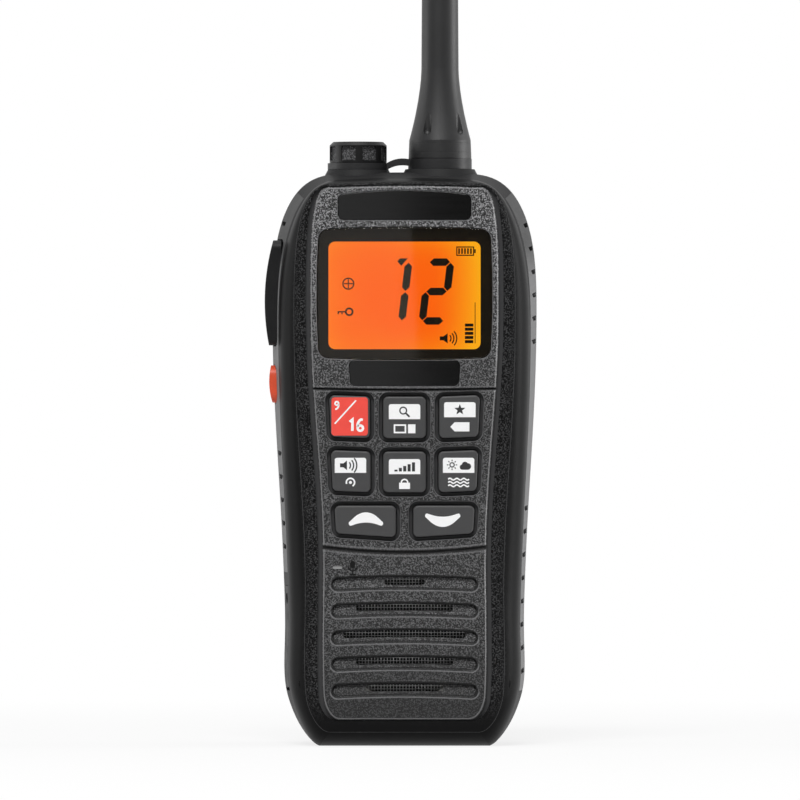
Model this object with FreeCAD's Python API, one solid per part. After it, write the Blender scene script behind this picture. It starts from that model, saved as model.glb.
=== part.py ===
import FreeCAD, Part
import math
import os

from FreeCAD import Vector

# Handheld VHF marine radio, standing on its flat base with its aerial up.
# Millimetres. X points to the viewer's right, Y from front to back, Z up.
# The origin is the middle of the flat base, under the middle of the casing's depth.

# Casing outline seen from the front, at its widest section
body_height = 131.6
base_half_width = 19.6
lower_half_width = 27.5
upper_half_width = 30.4
corner_rise = 15.0
spread_height = 25.0
widest_height = 100.0
top_flat_half_width = 14.0
top_crown = 0.4

# Outline of the front shell where it meets the rear shell
seam_height = 130.2
seam_lower_half_width = 26.5
seam_upper_half_width = 28.8
seam_widest_height = 95.0

# Outline of the fascia, the textured panel in the front shell
fascia_foot = 6.0
fascia_height = 128.4
fascia_lower_half_width = 19.3
fascia_upper_half_width = 22.2
fascia_base_half_width = 15.1
fascia_top_half_width = 17.0
fascia_corner_rise = 6.5
fascia_spread_height = 42.0
fascia_side_groove = 1.1
fascia_end_groove = 0.3

# Stations through the depth of the casing
fascia_face = -19.0
rim_plane = -18.5
seam_plane = -11.0
side_front_plane = -4.0
side_back_plane = 3.0
back_plane = 19.0
back_rounding = 6.0
base_back_chamfer = 3.0

# Walls and fits
fascia_thickness = 1.4
front_wall = 1.6
side_wall = 2.0
rear_side_wall = 2.6
rear_wall = 2.0
rear_wall_back = 5.5
close_fit = 0.1
free_fit = 0.25
seal_width = 1.2
seal_depth = 0.7
seal_inset = 0.9

# Display
window_width = 39.5
window_height = 29.6
window_centre = 103.9
window_corner = 2.4
window_bulge = 0.35
window_thickness = 1.25
glass_opening_width = 35.8
glass_opening_height = 25.6
lcd_margin = 1.3
lcd_thickness = 1.8

# Plates above and below the display
name_plate_half_width = 15.25
name_plate_foot = 120.8
name_plate_height = 5.9
name_plate_crown = 0.9
lower_plate_half_width = 12.8
lower_plate_foot = 82.75
lower_plate_height = 5.9
plate_thickness = 0.8
plate_corner = 1.3

# Grooves across the fascia
upper_seam_height = 81.95
upper_seam_width = 0.7
lower_seam_height = 45.2
lower_seam_width = 1.1
lower_seam_sag = 1.3
seam_depth = 0.5

# Keys: rows from the top down
key_proud = 0.8
key_travel = 0.7
key_gap = 0.95
key_guide_gap = 0.25
key_flange_reach = 0.6
key_flange_thickness = 1.0
key_corner = 1.2
key_edge = 0.45
first_row_top = 80.3
first_row_depth = 9.6
second_row_top = 67.7
second_row_depth = 9.4
third_row_top = 55.3
third_row_depth = 6.4
third_row_dip = 0.9
side_key_inner = 7.9
side_key_outer = 17.3
side_key_narrowing = 0.4
middle_key_half_width = 4.95
arrow_key_inner = 1.95
arrow_key_outer = 16.1

# Speaker, sound slots and microphone
slot_count = 5
slot_pitch = 6.12
slot_middle_height = 25.05
slot_half_width = 16.6
slot_height = 2.9
slot_arch = 0.45
slot_scoop_depth = 0.95
throat_height = 1.5
throat_raise = 0.55
throat_widest_half = 14.0
throat_narrowing = 2.8
top_throat_half = 4.6
bottom_throat_half = 9.1
speaker_radius = 16.0
speaker_rim = 3.2
magnet_radius = 10.5
magnet_depth = 4.4
mesh_thickness = 0.3
mic_centre_x = -15.35
mic_height = 41.1
mic_slit_width = 2.3
mic_slit_height = 0.7
mic_radius = 2.0
mic_length = 2.6
mic_boot_wall = 0.7

# Boards and chassis inside
board_half_width = 19.4
board_foot = 10.0
board_top = 121.0
board_thickness = 1.6
board_front = -10.6
mat_thickness = 0.75
mat_half_width = 18.2
chassis_plate_front = -5.0
chassis_plate_thickness = 1.5
chassis_half_width = 20.8
chassis_flange = 1.0
chassis_foot = 32.0
chassis_top = 112.0
standoff_radius = 1.9
board_screw_x = 16.8
upper_board_screw_z = 85.9
lower_board_screw_z = 36.0
can_height = 3.3

# Screws that close the casing
shell_screw_radius = 1.25
shell_screw_head_radius = 2.5
shell_screw_head = 1.6
shell_post_radius = 2.7
rear_post_radius = 3.6
shell_screw_seat = 2.2
low_screw_x = 21.6
low_screw_z = 14.5
mid_screw_x = 22.0
mid_screw_z = 70.0
top_screw_x = 19.4
top_screw_z = 122.6

# Side grips
grip_thickness = 1.4
grip_front = -9.9
grip_back = 4.0
grip_foot = 12.5
grip_shoulder_x = 24.2
grip_shoulder_z = 126.9
rib_groove = 1.0
rib_groove_depth = 0.95
rib_groove_lean = 25.0
rib_groove_front = -9.3
rib_pitch = 5.36

# Talk key and power key on the left side
side_keys_depth = -4.2
talk_key_foot = 92.1
talk_key_top = 116.3
talk_key_width = 8.6
talk_key_proud = 1.8
talk_key_travel = 0.8
power_key_foot = 78.9
power_key_top = 87.5
power_key_width = 5.2
power_key_proud = 1.1
power_key_travel = 0.6
side_pocket_floor = 27.4
side_key_back = 28.4
plunger_flange = 0.8
plunger_reach = 1.2

# Charging port under its rubber flap
flap_foot = 12.6
flap_top = 36.8
flap_front = -9.6
flap_back = 0.9
flap_bead_radius = 0.7
flap_hinge_inset = 0.87
port_height = 25.0
port_width = 9.0
port_thickness = 3.2
port_length = 8.0

# Top bosses, jack cap and aerial
top_centre_y = 1.0
jack_x = -10.7
jack_boss_radius = 7.0
jack_boss_top = 132.7
aerial_x = 8.2
aerial_boss_radius = 8.0
aerial_boss_top = 132.8
boss_flare = 1.8
boss_drop = 3.4
boss_depth = 4.0
cap_radius = 6.6
cap_foot = 134.3
cap_top = 139.1
cap_edge = 0.8
cap_grip_count = 8
cap_recess_depth = 0.8
cap_recess_half = 1.75
cap_plug_radius = 4.0
cap_plug_length = 4.7
seal_ring = 1.1
tether_gap = 0.05
cap_ring_radius = 7.05
cap_ring_height = 1.45
aerial_ring_radius = 7.35
aerial_ring_height = 2.3
strap_width = 5.0
strap_thickness = 1.5
strap_rise = 0.7
aerial_foot = 135.2
aerial_top = 275.5
aerial_base_radius = 7.27
aerial_collar_height = 4.3
aerial_collar_radius = 7.1
aerial_flare_height = 16.5
aerial_neck_radius = 4.3
aerial_tip_radius = 3.6
aerial_flare_power = 1.6
dimple_count = 5
dimple_radius = 1.0
dimple_reach = 6.6
dimple_foot = 141.7
aerial_stub_radius = 3.1
aerial_stub_length = 7.2
aerial_core_radius = 1.6
socket_radius = 4.6
socket_foot = 119.0

# Battery pack
pack_top = 102.3
pack_gap = 0.1
bay_ceiling = 3.0
tab_centre_x = 15.0
tab_half_width = 4.0
tab_front = 8.0
tab_thickness = 2.0
tab_height = 1.8
pack_wall = 2.5
lid_thickness = 1.2
lid_half_width = 24.6
lid_foot = 12.0
lid_top = 99.5
cell_width = 22.6
cell_depth = 8.6
cell_height = 61.0
cell_foot = 15.0
contact_height = 92.0
contact_pitch = 6.0
contact_radius = 0.9
charge_pad_radius = 2.0
charge_pad_x = 7.5
charge_pad_height = 20.5
charge_pad_thickness = 1.4

# Battery latch
latch_travel = 2.2
latch_half_width = 8.0
latch_foot = 3.4
latch_height = 8.6
latch_plate = 1.9
latch_runner = 1.2
latch_runner_thickness = 0.8
tongue_half_width = 5.0
tongue_front = 6.7
tongue_thickness = 1.2
tongue_foot = 1.7
arm_foot = 3.4
arm_thickness = 1.4
lip_thickness = 1.2
nib_front = 8.1
nib_thickness = 1.2
nib_top = 3.0
channel_ceiling = 10.0

# Belt clip
clip_base_half_width = 10.0
clip_base_foot = 105.0
clip_base_top = 124.0
clip_base_thickness = 2.2
clip_pin_radius = 1.25
clip_pin_stand = 2.0
clip_pin_height = 113.0
clip_half_width = 9.4
clip_thickness = 2.2
clip_top = 122.5
clip_foot = 44.0
clip_stand = 4.0
clip_ear = 2.4
clip_lug = 2.4
clip_toe_gap = 0.3
clip_spring_radius = 1.6
clip_spring_wire = 0.3
clip_spring_turns = 5
eyelet_x = 12.9
eyelet_height = 118.0
eyelet_bore = 1.7
eyelet_thickness = 1.6
eyelet_stand = 3.2

# Derived planes and centres
fascia_back = fascia_face + fascia_thickness
wall_back = fascia_back + front_wall
board_back = board_front + board_thickness
rear_wall_front = rear_wall_back - rear_wall
pack_front = rear_wall_back + pack_gap
lid_back = pack_front + lid_thickness
clip_base_back = back_plane + clip_base_thickness
clip_pin_y = clip_base_back + clip_pin_stand
clip_inner = clip_base_back + clip_stand

STEP = 0.0001
FAR = 60.0
CORNER_POINTS = 6
SIDE_POINTS = 6
SHOULDER_POINTS = 8


# Plain shapes

def block(x0, x1, y0, y1, z0, z1):
    return Part.makeBox(x1 - x0, y1 - y0, z1 - z0, Vector(x0, y0, z0))


def rod_y(x, z, radius, y0, y1):
    return Part.makeCylinder(radius, y1 - y0, Vector(x, y0, z), Vector(0, 1, 0))


def rod_z(x, y, radius, z0, z1):
    return Part.makeCylinder(radius, z1 - z0, Vector(x, y, z0), Vector(0, 0, 1))


def rod_x(y, z, radius, x0, x1):
    return Part.makeCylinder(radius, x1 - x0, Vector(x0, y, z), Vector(1, 0, 0))


def joined(shapes):
    whole = shapes[0]
    if len(shapes) > 1:
        whole = whole.fuse(shapes[1:])
    return whole.removeSplitter()


def wire_of(corners, y):
    points = [Vector(x, y, z) for x, z in corners]
    return Part.makePolygon(points + points[:1])


def prism(corners, y0, y1):
    return Part.Face(wire_of(corners, y0)).extrude(Vector(0, y1 - y0, 0))


def side_prism(corners, x0, x1):
    points = [Vector(x0, y, z) for y, z in corners]
    return Part.Face(Part.makePolygon(points + points[:1])).extrude(Vector(x1 - x0, 0, 0))


def edges_along(shape, direction, keep=None):
    """Straight edges of a solid that run along one direction."""
    found = []
    for edge in shape.Edges:
        if edge.Curve.TypeId != "Part::GeomLine":
            continue
        if edge.tangentAt(edge.FirstParameter).cross(direction).Length > 1e-4:
            continue
        if keep is None or keep(edge.CenterOfMass):
            found.append(edge)
    return found


def rounded_block(x0, x1, y0, y1, z0, z1, radius, along=Vector(0, 1, 0)):
    solid = block(x0, x1, y0, y1, z0, z1)
    return solid.makeFillet(radius, edges_along(solid, along))


def soften_front(shape, radius):
    """Rounds the edges round the face that looks to the front."""
    front = min(shape.BoundBox.YMin, shape.BoundBox.YMax)
    rim = [e for e in shape.Edges if e.BoundBox.YMax < front + STEP * 10]
    return shape.makeFillet(radius, rim)


# Outlines of the casing

class Outline:
    """A closed outline seen from the front: rounded foot corners, spreading sides and shoulders."""

    def __init__(self, foot, height, base_half, low_half, high_half, top_half,
                 rise, spread, widest, corner_power, shoulder_power, crown):
        self.values = [foot, height, base_half, low_half, high_half, top_half,
                       rise, spread, widest, corner_power, shoulder_power, crown]

    def towards(self, other, share):
        return Outline(*[a + (b - a) * share for a, b in zip(self.values, other.values)])

    def inset(self, side, ends=None):
        ends = side if ends is None else ends
        corner_share = 0.35
        values = list(self.values)
        values[0] += ends
        values[1] -= ends
        values[2] -= side * corner_share
        values[3] -= side
        values[4] -= side
        values[5] -= side * corner_share
        return Outline(*values)

    def half(self):
        """Points up the right side, from the end of the foot to the end of the top."""
        (foot, height, base_half, low_half, high_half, top_half,
         rise, spread, widest, corner_power, shoulder_power, crown) = self.values
        points = []
        for i in range(CORNER_POINTS + 1):
            t = math.pi / 2 * i / CORNER_POINTS
            points.append((base_half + (low_half - base_half) * math.sin(t) ** (2 / corner_power),
                           foot + rise * (1 - max(0.0, math.cos(t)) ** (2 / corner_power))))
        for i in range(SIDE_POINTS):
            u = i / SIDE_POINTS
            points.append((low_half + (high_half - low_half) * (1 - math.cos(math.pi * u)) / 2,
                           spread + (widest - spread) * u))
        for i in range(SHOULDER_POINTS + 1):
            t = math.pi / 2 * i / SHOULDER_POINTS
            points.append((top_half + (high_half - top_half) * max(0.0, math.cos(t)) ** (2 / shoulder_power),
                           widest + (height - widest) * math.sin(t) ** (2 / shoulder_power)))
        return points

    def side_at(self, z):
        """Half-width at a height on the spreading side or the shoulder."""
        height, low_half, high_half, top_half, spread, widest = (self.values[i] for i in (1, 3, 4, 5, 7, 8))
        if z > widest:
            power = self.values[10]
            up = (z - widest) / (height - widest)
            return top_half + (high_half - top_half) * (1 - up ** power) ** (1 / power)
        u = max(0.0, (z - spread) / (widest - spread))
        return low_half + (high_half - low_half) * (1 - math.cos(math.pi * u)) / 2

    def wire(self, y):
        height, crown = self.values[1], self.values[11]
        right = [Vector(x, y, z) for x, z in self.half()]
        left = [Vector(-p.x, y, p.z) for p in reversed(right)]
        right_side = Part.BSplineCurve()
        right_side.interpolate(right)
        left_side = Part.BSplineCurve()
        left_side.interpolate(left)
        top = Part.Arc(right[-1], Vector(0, y, height + crown), left[0])
        foot = Part.LineSegment(left[-1], right[0])
        return Part.Wire([right_side.toShape(), top.toShape(), left_side.toShape(), foot.toShape()])

    def prism(self, y0, y1):
        return Part.Face(self.wire(y0)).extrude(Vector(0, y1 - y0, 0))


def widest_outline():
    return Outline(0, body_height, base_half_width, lower_half_width, upper_half_width,
                   top_flat_half_width, corner_rise, spread_height, widest_height, 1.52, 2.7, top_crown)


def seam_outline():
    return Outline(0, seam_height, base_half_width, seam_lower_half_width, seam_upper_half_width,
                   top_flat_half_width, corner_rise, spread_height, seam_widest_height, 1.52, 2.45, top_crown)


def fascia_outline():
    return Outline(fascia_foot, fascia_height, fascia_base_half_width, fascia_lower_half_width,
                   fascia_upper_half_width, fascia_top_half_width, fascia_corner_rise,
                   fascia_spread_height, widest_height, 2.0, 3.4, top_crown)


def loft(outlines, ruled=False):
    return Part.makeLoft([outline.wire(y) for outline, y in outlines], True, ruled)


def wing_share(y):
    """How far the wings have spread from fascia to seam at one depth: a quarter round."""
    end = math.radians(80)
    fall = (y - rim_plane) / (seam_plane - rim_plane) * (1 - math.cos(end))
    return math.sin(math.acos(1 - fall)) / math.sin(end)


def front_outer():
    """Fascia rim to seam, with the wings as one quarter round."""
    rim = fascia_outline().inset(-fascia_side_groove / 2, -fascia_end_groove / 2)
    seam = seam_outline()
    sections = []
    for degrees in (0, 16, 32, 48, 64, 80):
        t = math.radians(degrees)
        end = math.radians(80)
        y = rim_plane + (seam_plane - rim_plane) * (1 - math.cos(t)) / (1 - math.cos(end))
        sections.append((rim.towards(seam, math.sin(t) / math.sin(end)), y))
    return loft(sections)


def rear_outer(inset=0.0):
    """Seam to back plane. The side band flares from the seam, then the back rounds over."""
    seam = seam_outline().inset(inset)
    widest = widest_outline().inset(inset)
    band = loft([(seam, seam_plane), (widest, side_front_plane), (widest, side_back_plane)], True)
    sections = []
    for degrees in (0, 25, 50, 70, 90):
        t = math.radians(degrees)
        y = side_back_plane + (back_plane - side_back_plane) * math.sin(t)
        sections.append((widest.inset(back_rounding * (1 - math.cos(t)), 0), y))
    round_back = loft(sections)
    return band.fuse(round_back)


def casing_rear():
    """The whole rear volume: casing and battery pack together, with the top and foot edges eased."""
    edge = base_back_chamfer
    foot_cut = side_prism([(back_plane - edge, -1), (back_plane + 1, -1), (back_plane + 1, edge + 1),
                           (back_plane, edge + 0), (back_plane - edge, 0)], -FAR, FAR)
    top_edge = back_rounding
    top_cut = side_prism([(back_plane - top_edge, body_height + top_crown + 1),
                          (back_plane + 1, body_height + top_crown + 1),
                          (back_plane + 1, body_height - top_edge - 1),
                          (back_plane, body_height - top_edge),
                          (back_plane - top_edge / 3, body_height - top_edge / 4),
                          (back_plane - top_edge, body_height + top_crown + STEP)], -FAR, FAR)
    return rear_outer().cut([foot_cut, top_cut])


# Shapes of the openings and pieces on the front

def quad_wire(corners, radius, y, grow=0.0):
    """A four-cornered outline with round corners, grown by a margin."""
    count = len(corners)
    grown = []
    for i in range(count):
        before, here, after = (Vector(corners[(i + k) % count][0], 0, corners[(i + k) % count][1])
                               for k in (-1, 0, 1))
        a = (here - before).normalize()
        b = (after - here).normalize()
        out_a = Vector(a.z, 0, -a.x)
        out_b = Vector(b.z, 0, -b.x)
        half = (out_a + out_b).normalize()
        grown.append(here + half * (grow / half.dot(out_a)))
    edges = []
    starts = []
    ends = []
    for i in range(count):
        before, here, after = grown[i - 1], grown[i], grown[(i + 1) % count]
        a = (here - before).normalize()
        b = (after - here).normalize()
        turn = a.getAngle(b)
        reach = (radius + max(grow, 0)) * math.tan(turn / 2)
        start = here - a * reach
        end = here + b * reach
        centre = start + Vector(a.z, 0, -a.x) * -(radius + max(grow, 0))
        middle = centre + (here - centre).normalize() * (radius + max(grow, 0))
        starts.append(start)
        ends.append(end)
        edges.append(Part.Arc(start, middle, end).toShape())
    loop = []
    for i in range(count):
        loop.append(edges[i])
        loop.append(Part.LineSegment(ends[i], starts[(i + 1) % count]).toShape())
    wire = Part.Wire(loop)
    wire.translate(Vector(0, y, 0))
    return wire


def slot_wire(x, z, half_width, height, y, grow=0.0):
    """A long slot with round ends that arches up in the middle."""
    half = half_width - height / 2
    rise = slot_arch * (half_width / slot_half_width) ** 2
    up = height / 2 + grow
    corners = [Vector(x - half, y, z - up), Vector(x + half, y, z - up),
               Vector(x + half, y, z + up), Vector(x - half, y, z + up)]
    low = Part.Arc(corners[0], Vector(x, y, z - up + rise), corners[1])
    right = Part.Arc(corners[1], Vector(x + half + up, y, z), corners[2])
    high = Part.Arc(corners[2], Vector(x, y, z + up + rise), corners[3])
    left = Part.Arc(corners[3], Vector(x - half - up, y, z), corners[0])
    return Part.Wire([a.toShape() for a in (low, right, high, left)])


def pillow_wire(z, width, height, y, grow=0.0):
    """The display's outline: four gently bowed sides with round corners."""
    w, h, r = width / 2 + grow, height / 2 + grow, window_corner + grow
    bow = window_bulge
    slant = r * (1 - math.sqrt(0.5))
    points = [Vector(-w + r, y, z - h), Vector(w - r, y, z - h), Vector(w, y, z - h + r), Vector(w, y, z + h - r),
              Vector(w - r, y, z + h), Vector(-w + r, y, z + h), Vector(-w, y, z + h - r), Vector(-w, y, z - h + r)]
    edges = [
        Part.Arc(points[0], Vector(0, y, z - h - bow), points[1]),
        Part.Arc(points[1], Vector(w - slant, y, z - h + slant), points[2]),
        Part.Arc(points[2], Vector(w + bow, y, z), points[3]),
        Part.Arc(points[3], Vector(w - slant, y, z + h - slant), points[4]),
        Part.Arc(points[4], Vector(0, y, z + h + bow), points[5]),
        Part.Arc(points[5], Vector(-w + slant, y, z + h - slant), points[6]),
        Part.Arc(points[6], Vector(-w - bow, y, z), points[7]),
        Part.Arc(points[7], Vector(-w + slant, y, z - h + slant), points[0]),
    ]
    return Part.Wire([e.toShape() for e in edges])


def name_plate_wire(y, grow=0.0):
    """A plate with a bowed top edge and clipped upper corners."""
    w, foot, top = name_plate_half_width + grow, name_plate_foot - grow, name_plate_foot + name_plate_height + grow
    r = plate_corner + grow
    slant = r * (1 - math.sqrt(0.5))
    points = [Vector(-w + r, y, foot), Vector(w - r, y, foot), Vector(w, y, foot + r), Vector(w, y, top - r),
              Vector(w - r, y, top), Vector(-w + r, y, top), Vector(-w, y, top - r), Vector(-w, y, foot + r)]
    edges = [
        Part.LineSegment(points[0], points[1]),
        Part.Arc(points[1], Vector(w - slant, y, foot + slant), points[2]),
        Part.LineSegment(points[2], points[3]),
        Part.Arc(points[3], Vector(w - slant, y, top - slant), points[4]),
        Part.Arc(points[4], Vector(0, y, top + name_plate_crown), points[5]),
        Part.Arc(points[5], Vector(-w + slant, y, top - slant), points[6]),
        Part.LineSegment(points[6], points[7]),
        Part.Arc(points[7], Vector(-w + slant, y, foot + slant), points[0]),
    ]
    return Part.Wire([e.toShape() for e in edges])


def lower_plate_wire(y, grow=0.0):
    w, foot = lower_plate_half_width, lower_plate_foot
    narrow = 0.4
    corners = [(-w + narrow, foot), (w - narrow, foot), (w, foot + lower_plate_height),
               (-w, foot + lower_plate_height)]
    return quad_wire(corners, plate_corner, y, grow)


def sunk(wire_at, y0, y1, mouth=0.0):
    """A straight-sided cutter from y0 back to y1, with a bevelled mouth at y0."""
    over = 0.5
    cutter = Part.Face(wire_at(y0 - over, 0)).extrude(Vector(0, y1 - y0 + over, 0))
    if not mouth:
        return cutter
    flare = Part.makeLoft([wire_at(y0 - STEP * 100, mouth), wire_at(y0 + mouth, 0)], True, True)
    return cutter.fuse(flare)


def filled(wire_at, y0, y1, grow=0.0):
    return Part.Face(wire_at(y0, grow)).extrude(Vector(0, y1 - y0, 0))


# Keys on the front

def key_layout():
    """Node name to the key's four corners, counter-clockwise from the lower left."""
    rows = [(first_row_top, first_row_depth), (second_row_top, second_row_depth)]
    names = [("key_channel_16", "key_scan", "key_favourite"), ("key_volume", "key_power_level", "key_weather")]
    layout = {}
    for r, ((top, depth), (left, middle, right)) in enumerate(zip(rows, names)):
        foot = top - depth
        inner = side_key_inner - 0.15 * r
        outer_top = side_key_outer - side_key_narrowing * r
        outer_foot = outer_top - side_key_narrowing
        slope = 0.35
        layout[right] = [(inner, foot), (outer_foot, foot + slope), (outer_top, top + slope), (inner, top)]
        layout[left] = [(-outer_foot, foot + slope), (-inner, foot), (-inner, top), (-outer_top, top + slope)]
        m = middle_key_half_width
        layout[middle] = [(-m, foot), (m, foot), (m, top), (-m, top)]
    top, foot = third_row_top, third_row_top - third_row_depth
    inner, outer = arrow_key_inner, arrow_key_outer
    low = foot - third_row_dip
    layout["key_down"] = [(inner, low), (outer - side_key_narrowing, foot), (outer, top), (inner, top)]
    layout["key_up"] = [(-outer + side_key_narrowing, foot), (-inner, low), (-inner, top), (-outer, top)]
    return layout


def key_cap(corners):
    """One key: domed-edge head, guide through the front wall, retaining flange and plunger."""
    face = fascia_face - key_proud
    head = Part.Face(quad_wire(corners, key_corner, face)).extrude(Vector(0, wall_back + free_fit - face, 0))
    head = soften_front(head, key_edge)
    flange_front = wall_back + free_fit
    flange = Part.Face(quad_wire(corners, key_corner, flange_front, key_guide_gap + key_flange_reach))
    flange = flange.extrude(Vector(0, key_flange_thickness, 0))
    plunger_end = board_front - mat_thickness - key_travel - free_fit / 3
    x = sum(c[0] for c in corners) / 4
    z = sum(c[1] for c in corners) / 4
    plunger = rod_y(x, z, 2.4, flange_front, plunger_end)
    return joined([head, flange, plunger])


# Front of the radio

def sound_slots():
    """Rows of (height, half-width of the throat) from the top slot down."""
    rows = []
    for i in range(slot_count):
        from_middle = (slot_count - 1) / 2 - i
        throat = throat_widest_half - throat_narrowing * abs(from_middle)
        if i == 0:
            throat = top_throat_half
        elif i == slot_count - 1:
            throat = bottom_throat_half
        rows.append((slot_middle_height + slot_pitch * from_middle, throat))
    return rows


def fascia_seams():
    """Two V-shaped grooves that divide the panel into display, keypad and speaker fields."""
    cutters = []
    for height, width, sag in ((upper_seam_height, upper_seam_width, 0.25),
                               (lower_seam_height, lower_seam_width, lower_seam_sag)):
        reach = fascia_upper_half_width + 3
        middle = height - sag / 2
        sag = sag * (reach / fascia_lower_half_width) ** 2
        z_end = middle + sag
        profile = []
        for up, y in ((width / 2, fascia_face - 0.05), (0, fascia_face + seam_depth), (-width / 2, fascia_face - 0.05)):
            arc = Part.Arc(Vector(-reach, y, z_end + up), Vector(0, y, middle + up), Vector(reach, y, z_end + up))
            profile.append(arc.toShape())
        top, bottom_line, low = profile
        faces = [Part.makeRuledSurface(top, bottom_line), Part.makeRuledSurface(bottom_line, low),
                 Part.makeRuledSurface(low, top)]
        for k in (0, 1):
            ends = [e.Vertexes[k].Point for e in profile]
            faces.append(Part.Face(Part.makePolygon(ends + ends[:1])))
        shell = Part.makeShell(faces)
        shell.sewShape()
        cutters.append(Part.makeSolid(shell))
    return cutters


def fascia():
    groove = fascia_side_groove / 2
    bevel = 0.45
    edge = fascia_outline().inset(groove, fascia_end_groove / 2)
    body = loft([(edge, fascia_back), (edge, fascia_face + bevel), (edge.inset(bevel), fascia_face)], True)
    mouth = 0.2
    cuts = [
        sunk(lambda y, g: pillow_wire(window_centre, window_width, window_height, y, g + close_fit),
             fascia_face, fascia_back + 1, mouth),
        sunk(lambda y, g: name_plate_wire(y, g + close_fit), fascia_face, fascia_face + plate_thickness, mouth),
        sunk(lambda y, g: lower_plate_wire(y, g + close_fit), fascia_face, fascia_face + plate_thickness, 0.1),
    ]
    for corners in key_layout().values():
        cuts.append(sunk(lambda y, g: quad_wire(corners, key_corner, y, g + key_gap),
                         fascia_face, fascia_back + 1, mouth))
    cuts += fascia_seams()
    for z, throat in sound_slots():
        scoop = sunk(lambda y, g: slot_wire(0, z, slot_half_width, slot_height, y, g),
                     fascia_face, fascia_back - 0.1, mouth)
        half = slot_height / 2 + mouth
        wedge = side_prism([(fascia_face - 1, z - half - 0.5), (fascia_face + 0.25, z - half),
                            (fascia_face + slot_scoop_depth, z + throat_raise + slot_arch),
                            (fascia_face + slot_scoop_depth, z + half + 1), (fascia_face - 1, z + half + 1)],
                           -FAR, FAR)
        cuts.append(scoop.common(wedge))
        cuts.append(sunk(lambda y, g: slot_wire(0, z + throat_raise, throat, throat_height, y, g),
                         fascia_face, fascia_back + 1))
    cuts.append(mic_slit(fascia_face - 1, fascia_back + 1))
    return body.cut(cuts)


def mic_slit(y0, y1):
    w, h = mic_slit_width / 2, mic_slit_height / 2
    return block(mic_centre_x - w, mic_centre_x + w, y0, y1, mic_height - h, mic_height + h)


def front_shell():
    recess_outline = fascia_outline().inset(-fascia_side_groove / 2 + 0.04, -fascia_end_groove / 2 + 0.04)
    cavity = front_cavity_outline().prism(wall_back, seam_plane + 1)
    body = front_outer().cut([recess_outline.prism(rim_plane - 1, fascia_back), cavity])
    w, h = glass_opening_width / 2, glass_opening_height / 2
    cuts = [rounded_block(-w, w, fascia_back - 1, wall_back + 1, window_centre - h, window_centre + h, 1.5)]
    for corners in key_layout().values():
        cuts.append(filled(lambda y, g: quad_wire(corners, key_corner, y, g),
                           fascia_back - 1, wall_back + 1, key_guide_gap))
    for z, throat in sound_slots():
        cuts.append(filled(lambda y, g: slot_wire(0, z + throat_raise, throat, throat_height, y, g),
                           fascia_back - 1, wall_back + 1))
    cuts.append(mic_slit(fascia_back - 1, wall_back + 1))
    body = body.cut(cuts)
    posts = [rod_y(x, z, shell_post_radius, wall_back - 0.5, seam_plane) for x, z in screw_places()]
    body = joined([body] + posts)
    pilot = shell_screw_radius + STEP * 200
    depth = seam_plane - shell_screw_grip()
    return body.cut([rod_y(x, z, pilot, depth, seam_plane + 1) for x, z in screw_places()])


def front_cavity_outline():
    rim = fascia_outline()
    return rim.towards(seam_outline(), wing_share(wall_back)).inset(side_wall)


def display_window():
    front = fascia_back - window_thickness
    lens = filled(lambda y, g: pillow_wire(window_centre, window_width, window_height, y, g), front, fascia_back)
    return soften_front(lens, 0.2)


def name_plate():
    plate = filled(name_plate_wire, fascia_face + 0.1, fascia_face + plate_thickness)
    return soften_front(plate, 0.12)


def lower_plate():
    plate = filled(lower_plate_wire, fascia_face + 0.1, fascia_face + plate_thickness)
    return soften_front(plate, 0.12)


# Rear of the radio

def screw_places():
    places = []
    for x, z in ((low_screw_x, low_screw_z), (mid_screw_x, mid_screw_z), (top_screw_x, top_screw_z)):
        places += [(x, z), (-x, z)]
    return places


def shell_screw_grip():
    """How far each casing screw reaches into the front shell's post."""
    return 3.8


def pack_tabs(gap):
    """Two tabs on the pack's top edge that hook under the casing; the pack swings out at its foot."""
    tabs = []
    for x in (-tab_centre_x, tab_centre_x):
        tabs.append(block(x - tab_half_width - gap, x + tab_half_width + gap, tab_front - gap,
                          tab_front + tab_thickness + gap, pack_top - 1, pack_top + tab_height + gap))
    return tabs


def pack_region(y0, top):
    return block(-FAR, FAR, y0, FAR, -FAR, top)


def grip_region(side, foot, front, back, gap=0.0):
    """The prism that bounds a side grip: level at its foot, square to the shoulder at its top."""
    lean = grip_shoulder_z - grip_shoulder_x
    inner, outer = 10.0, 45.0
    corners = [(side * inner, foot + gap), (side * outer, foot + gap),
               (side * outer, outer + lean - gap), (side * inner, inner + lean - gap)]
    return prism(corners, front + gap, back - gap)


def side_skin(casing):
    """The outer layer of the casing's sides, as thick as the grips."""
    return casing.cut(rear_outer(grip_thickness))


def talk_key_pocket(gap):
    half = talk_key_width / 2 + gap
    return rounded_block(-FAR, -side_pocket_floor, side_keys_depth - half, side_keys_depth + half,
                         talk_key_foot - gap, talk_key_top + gap, 2.0, Vector(1, 0, 0))


def power_key_pocket(gap):
    half = power_key_width / 2 + gap
    return rounded_block(-FAR, -side_pocket_floor, side_keys_depth - half, side_keys_depth + half,
                         power_key_foot - gap, power_key_top + gap, power_key_width / 2 - 0.1, Vector(1, 0, 0))


def plunger_places():
    """Node name to (middle height, half-length of stem, travel) of each side key's plunger."""
    return {
        "talk_key_plunger": (talk_key_foot + 8.0, 4.0, talk_key_travel),
        "power_key_plunger": ((power_key_foot + power_key_top) / 2, 1.6, power_key_travel),
    }


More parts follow.
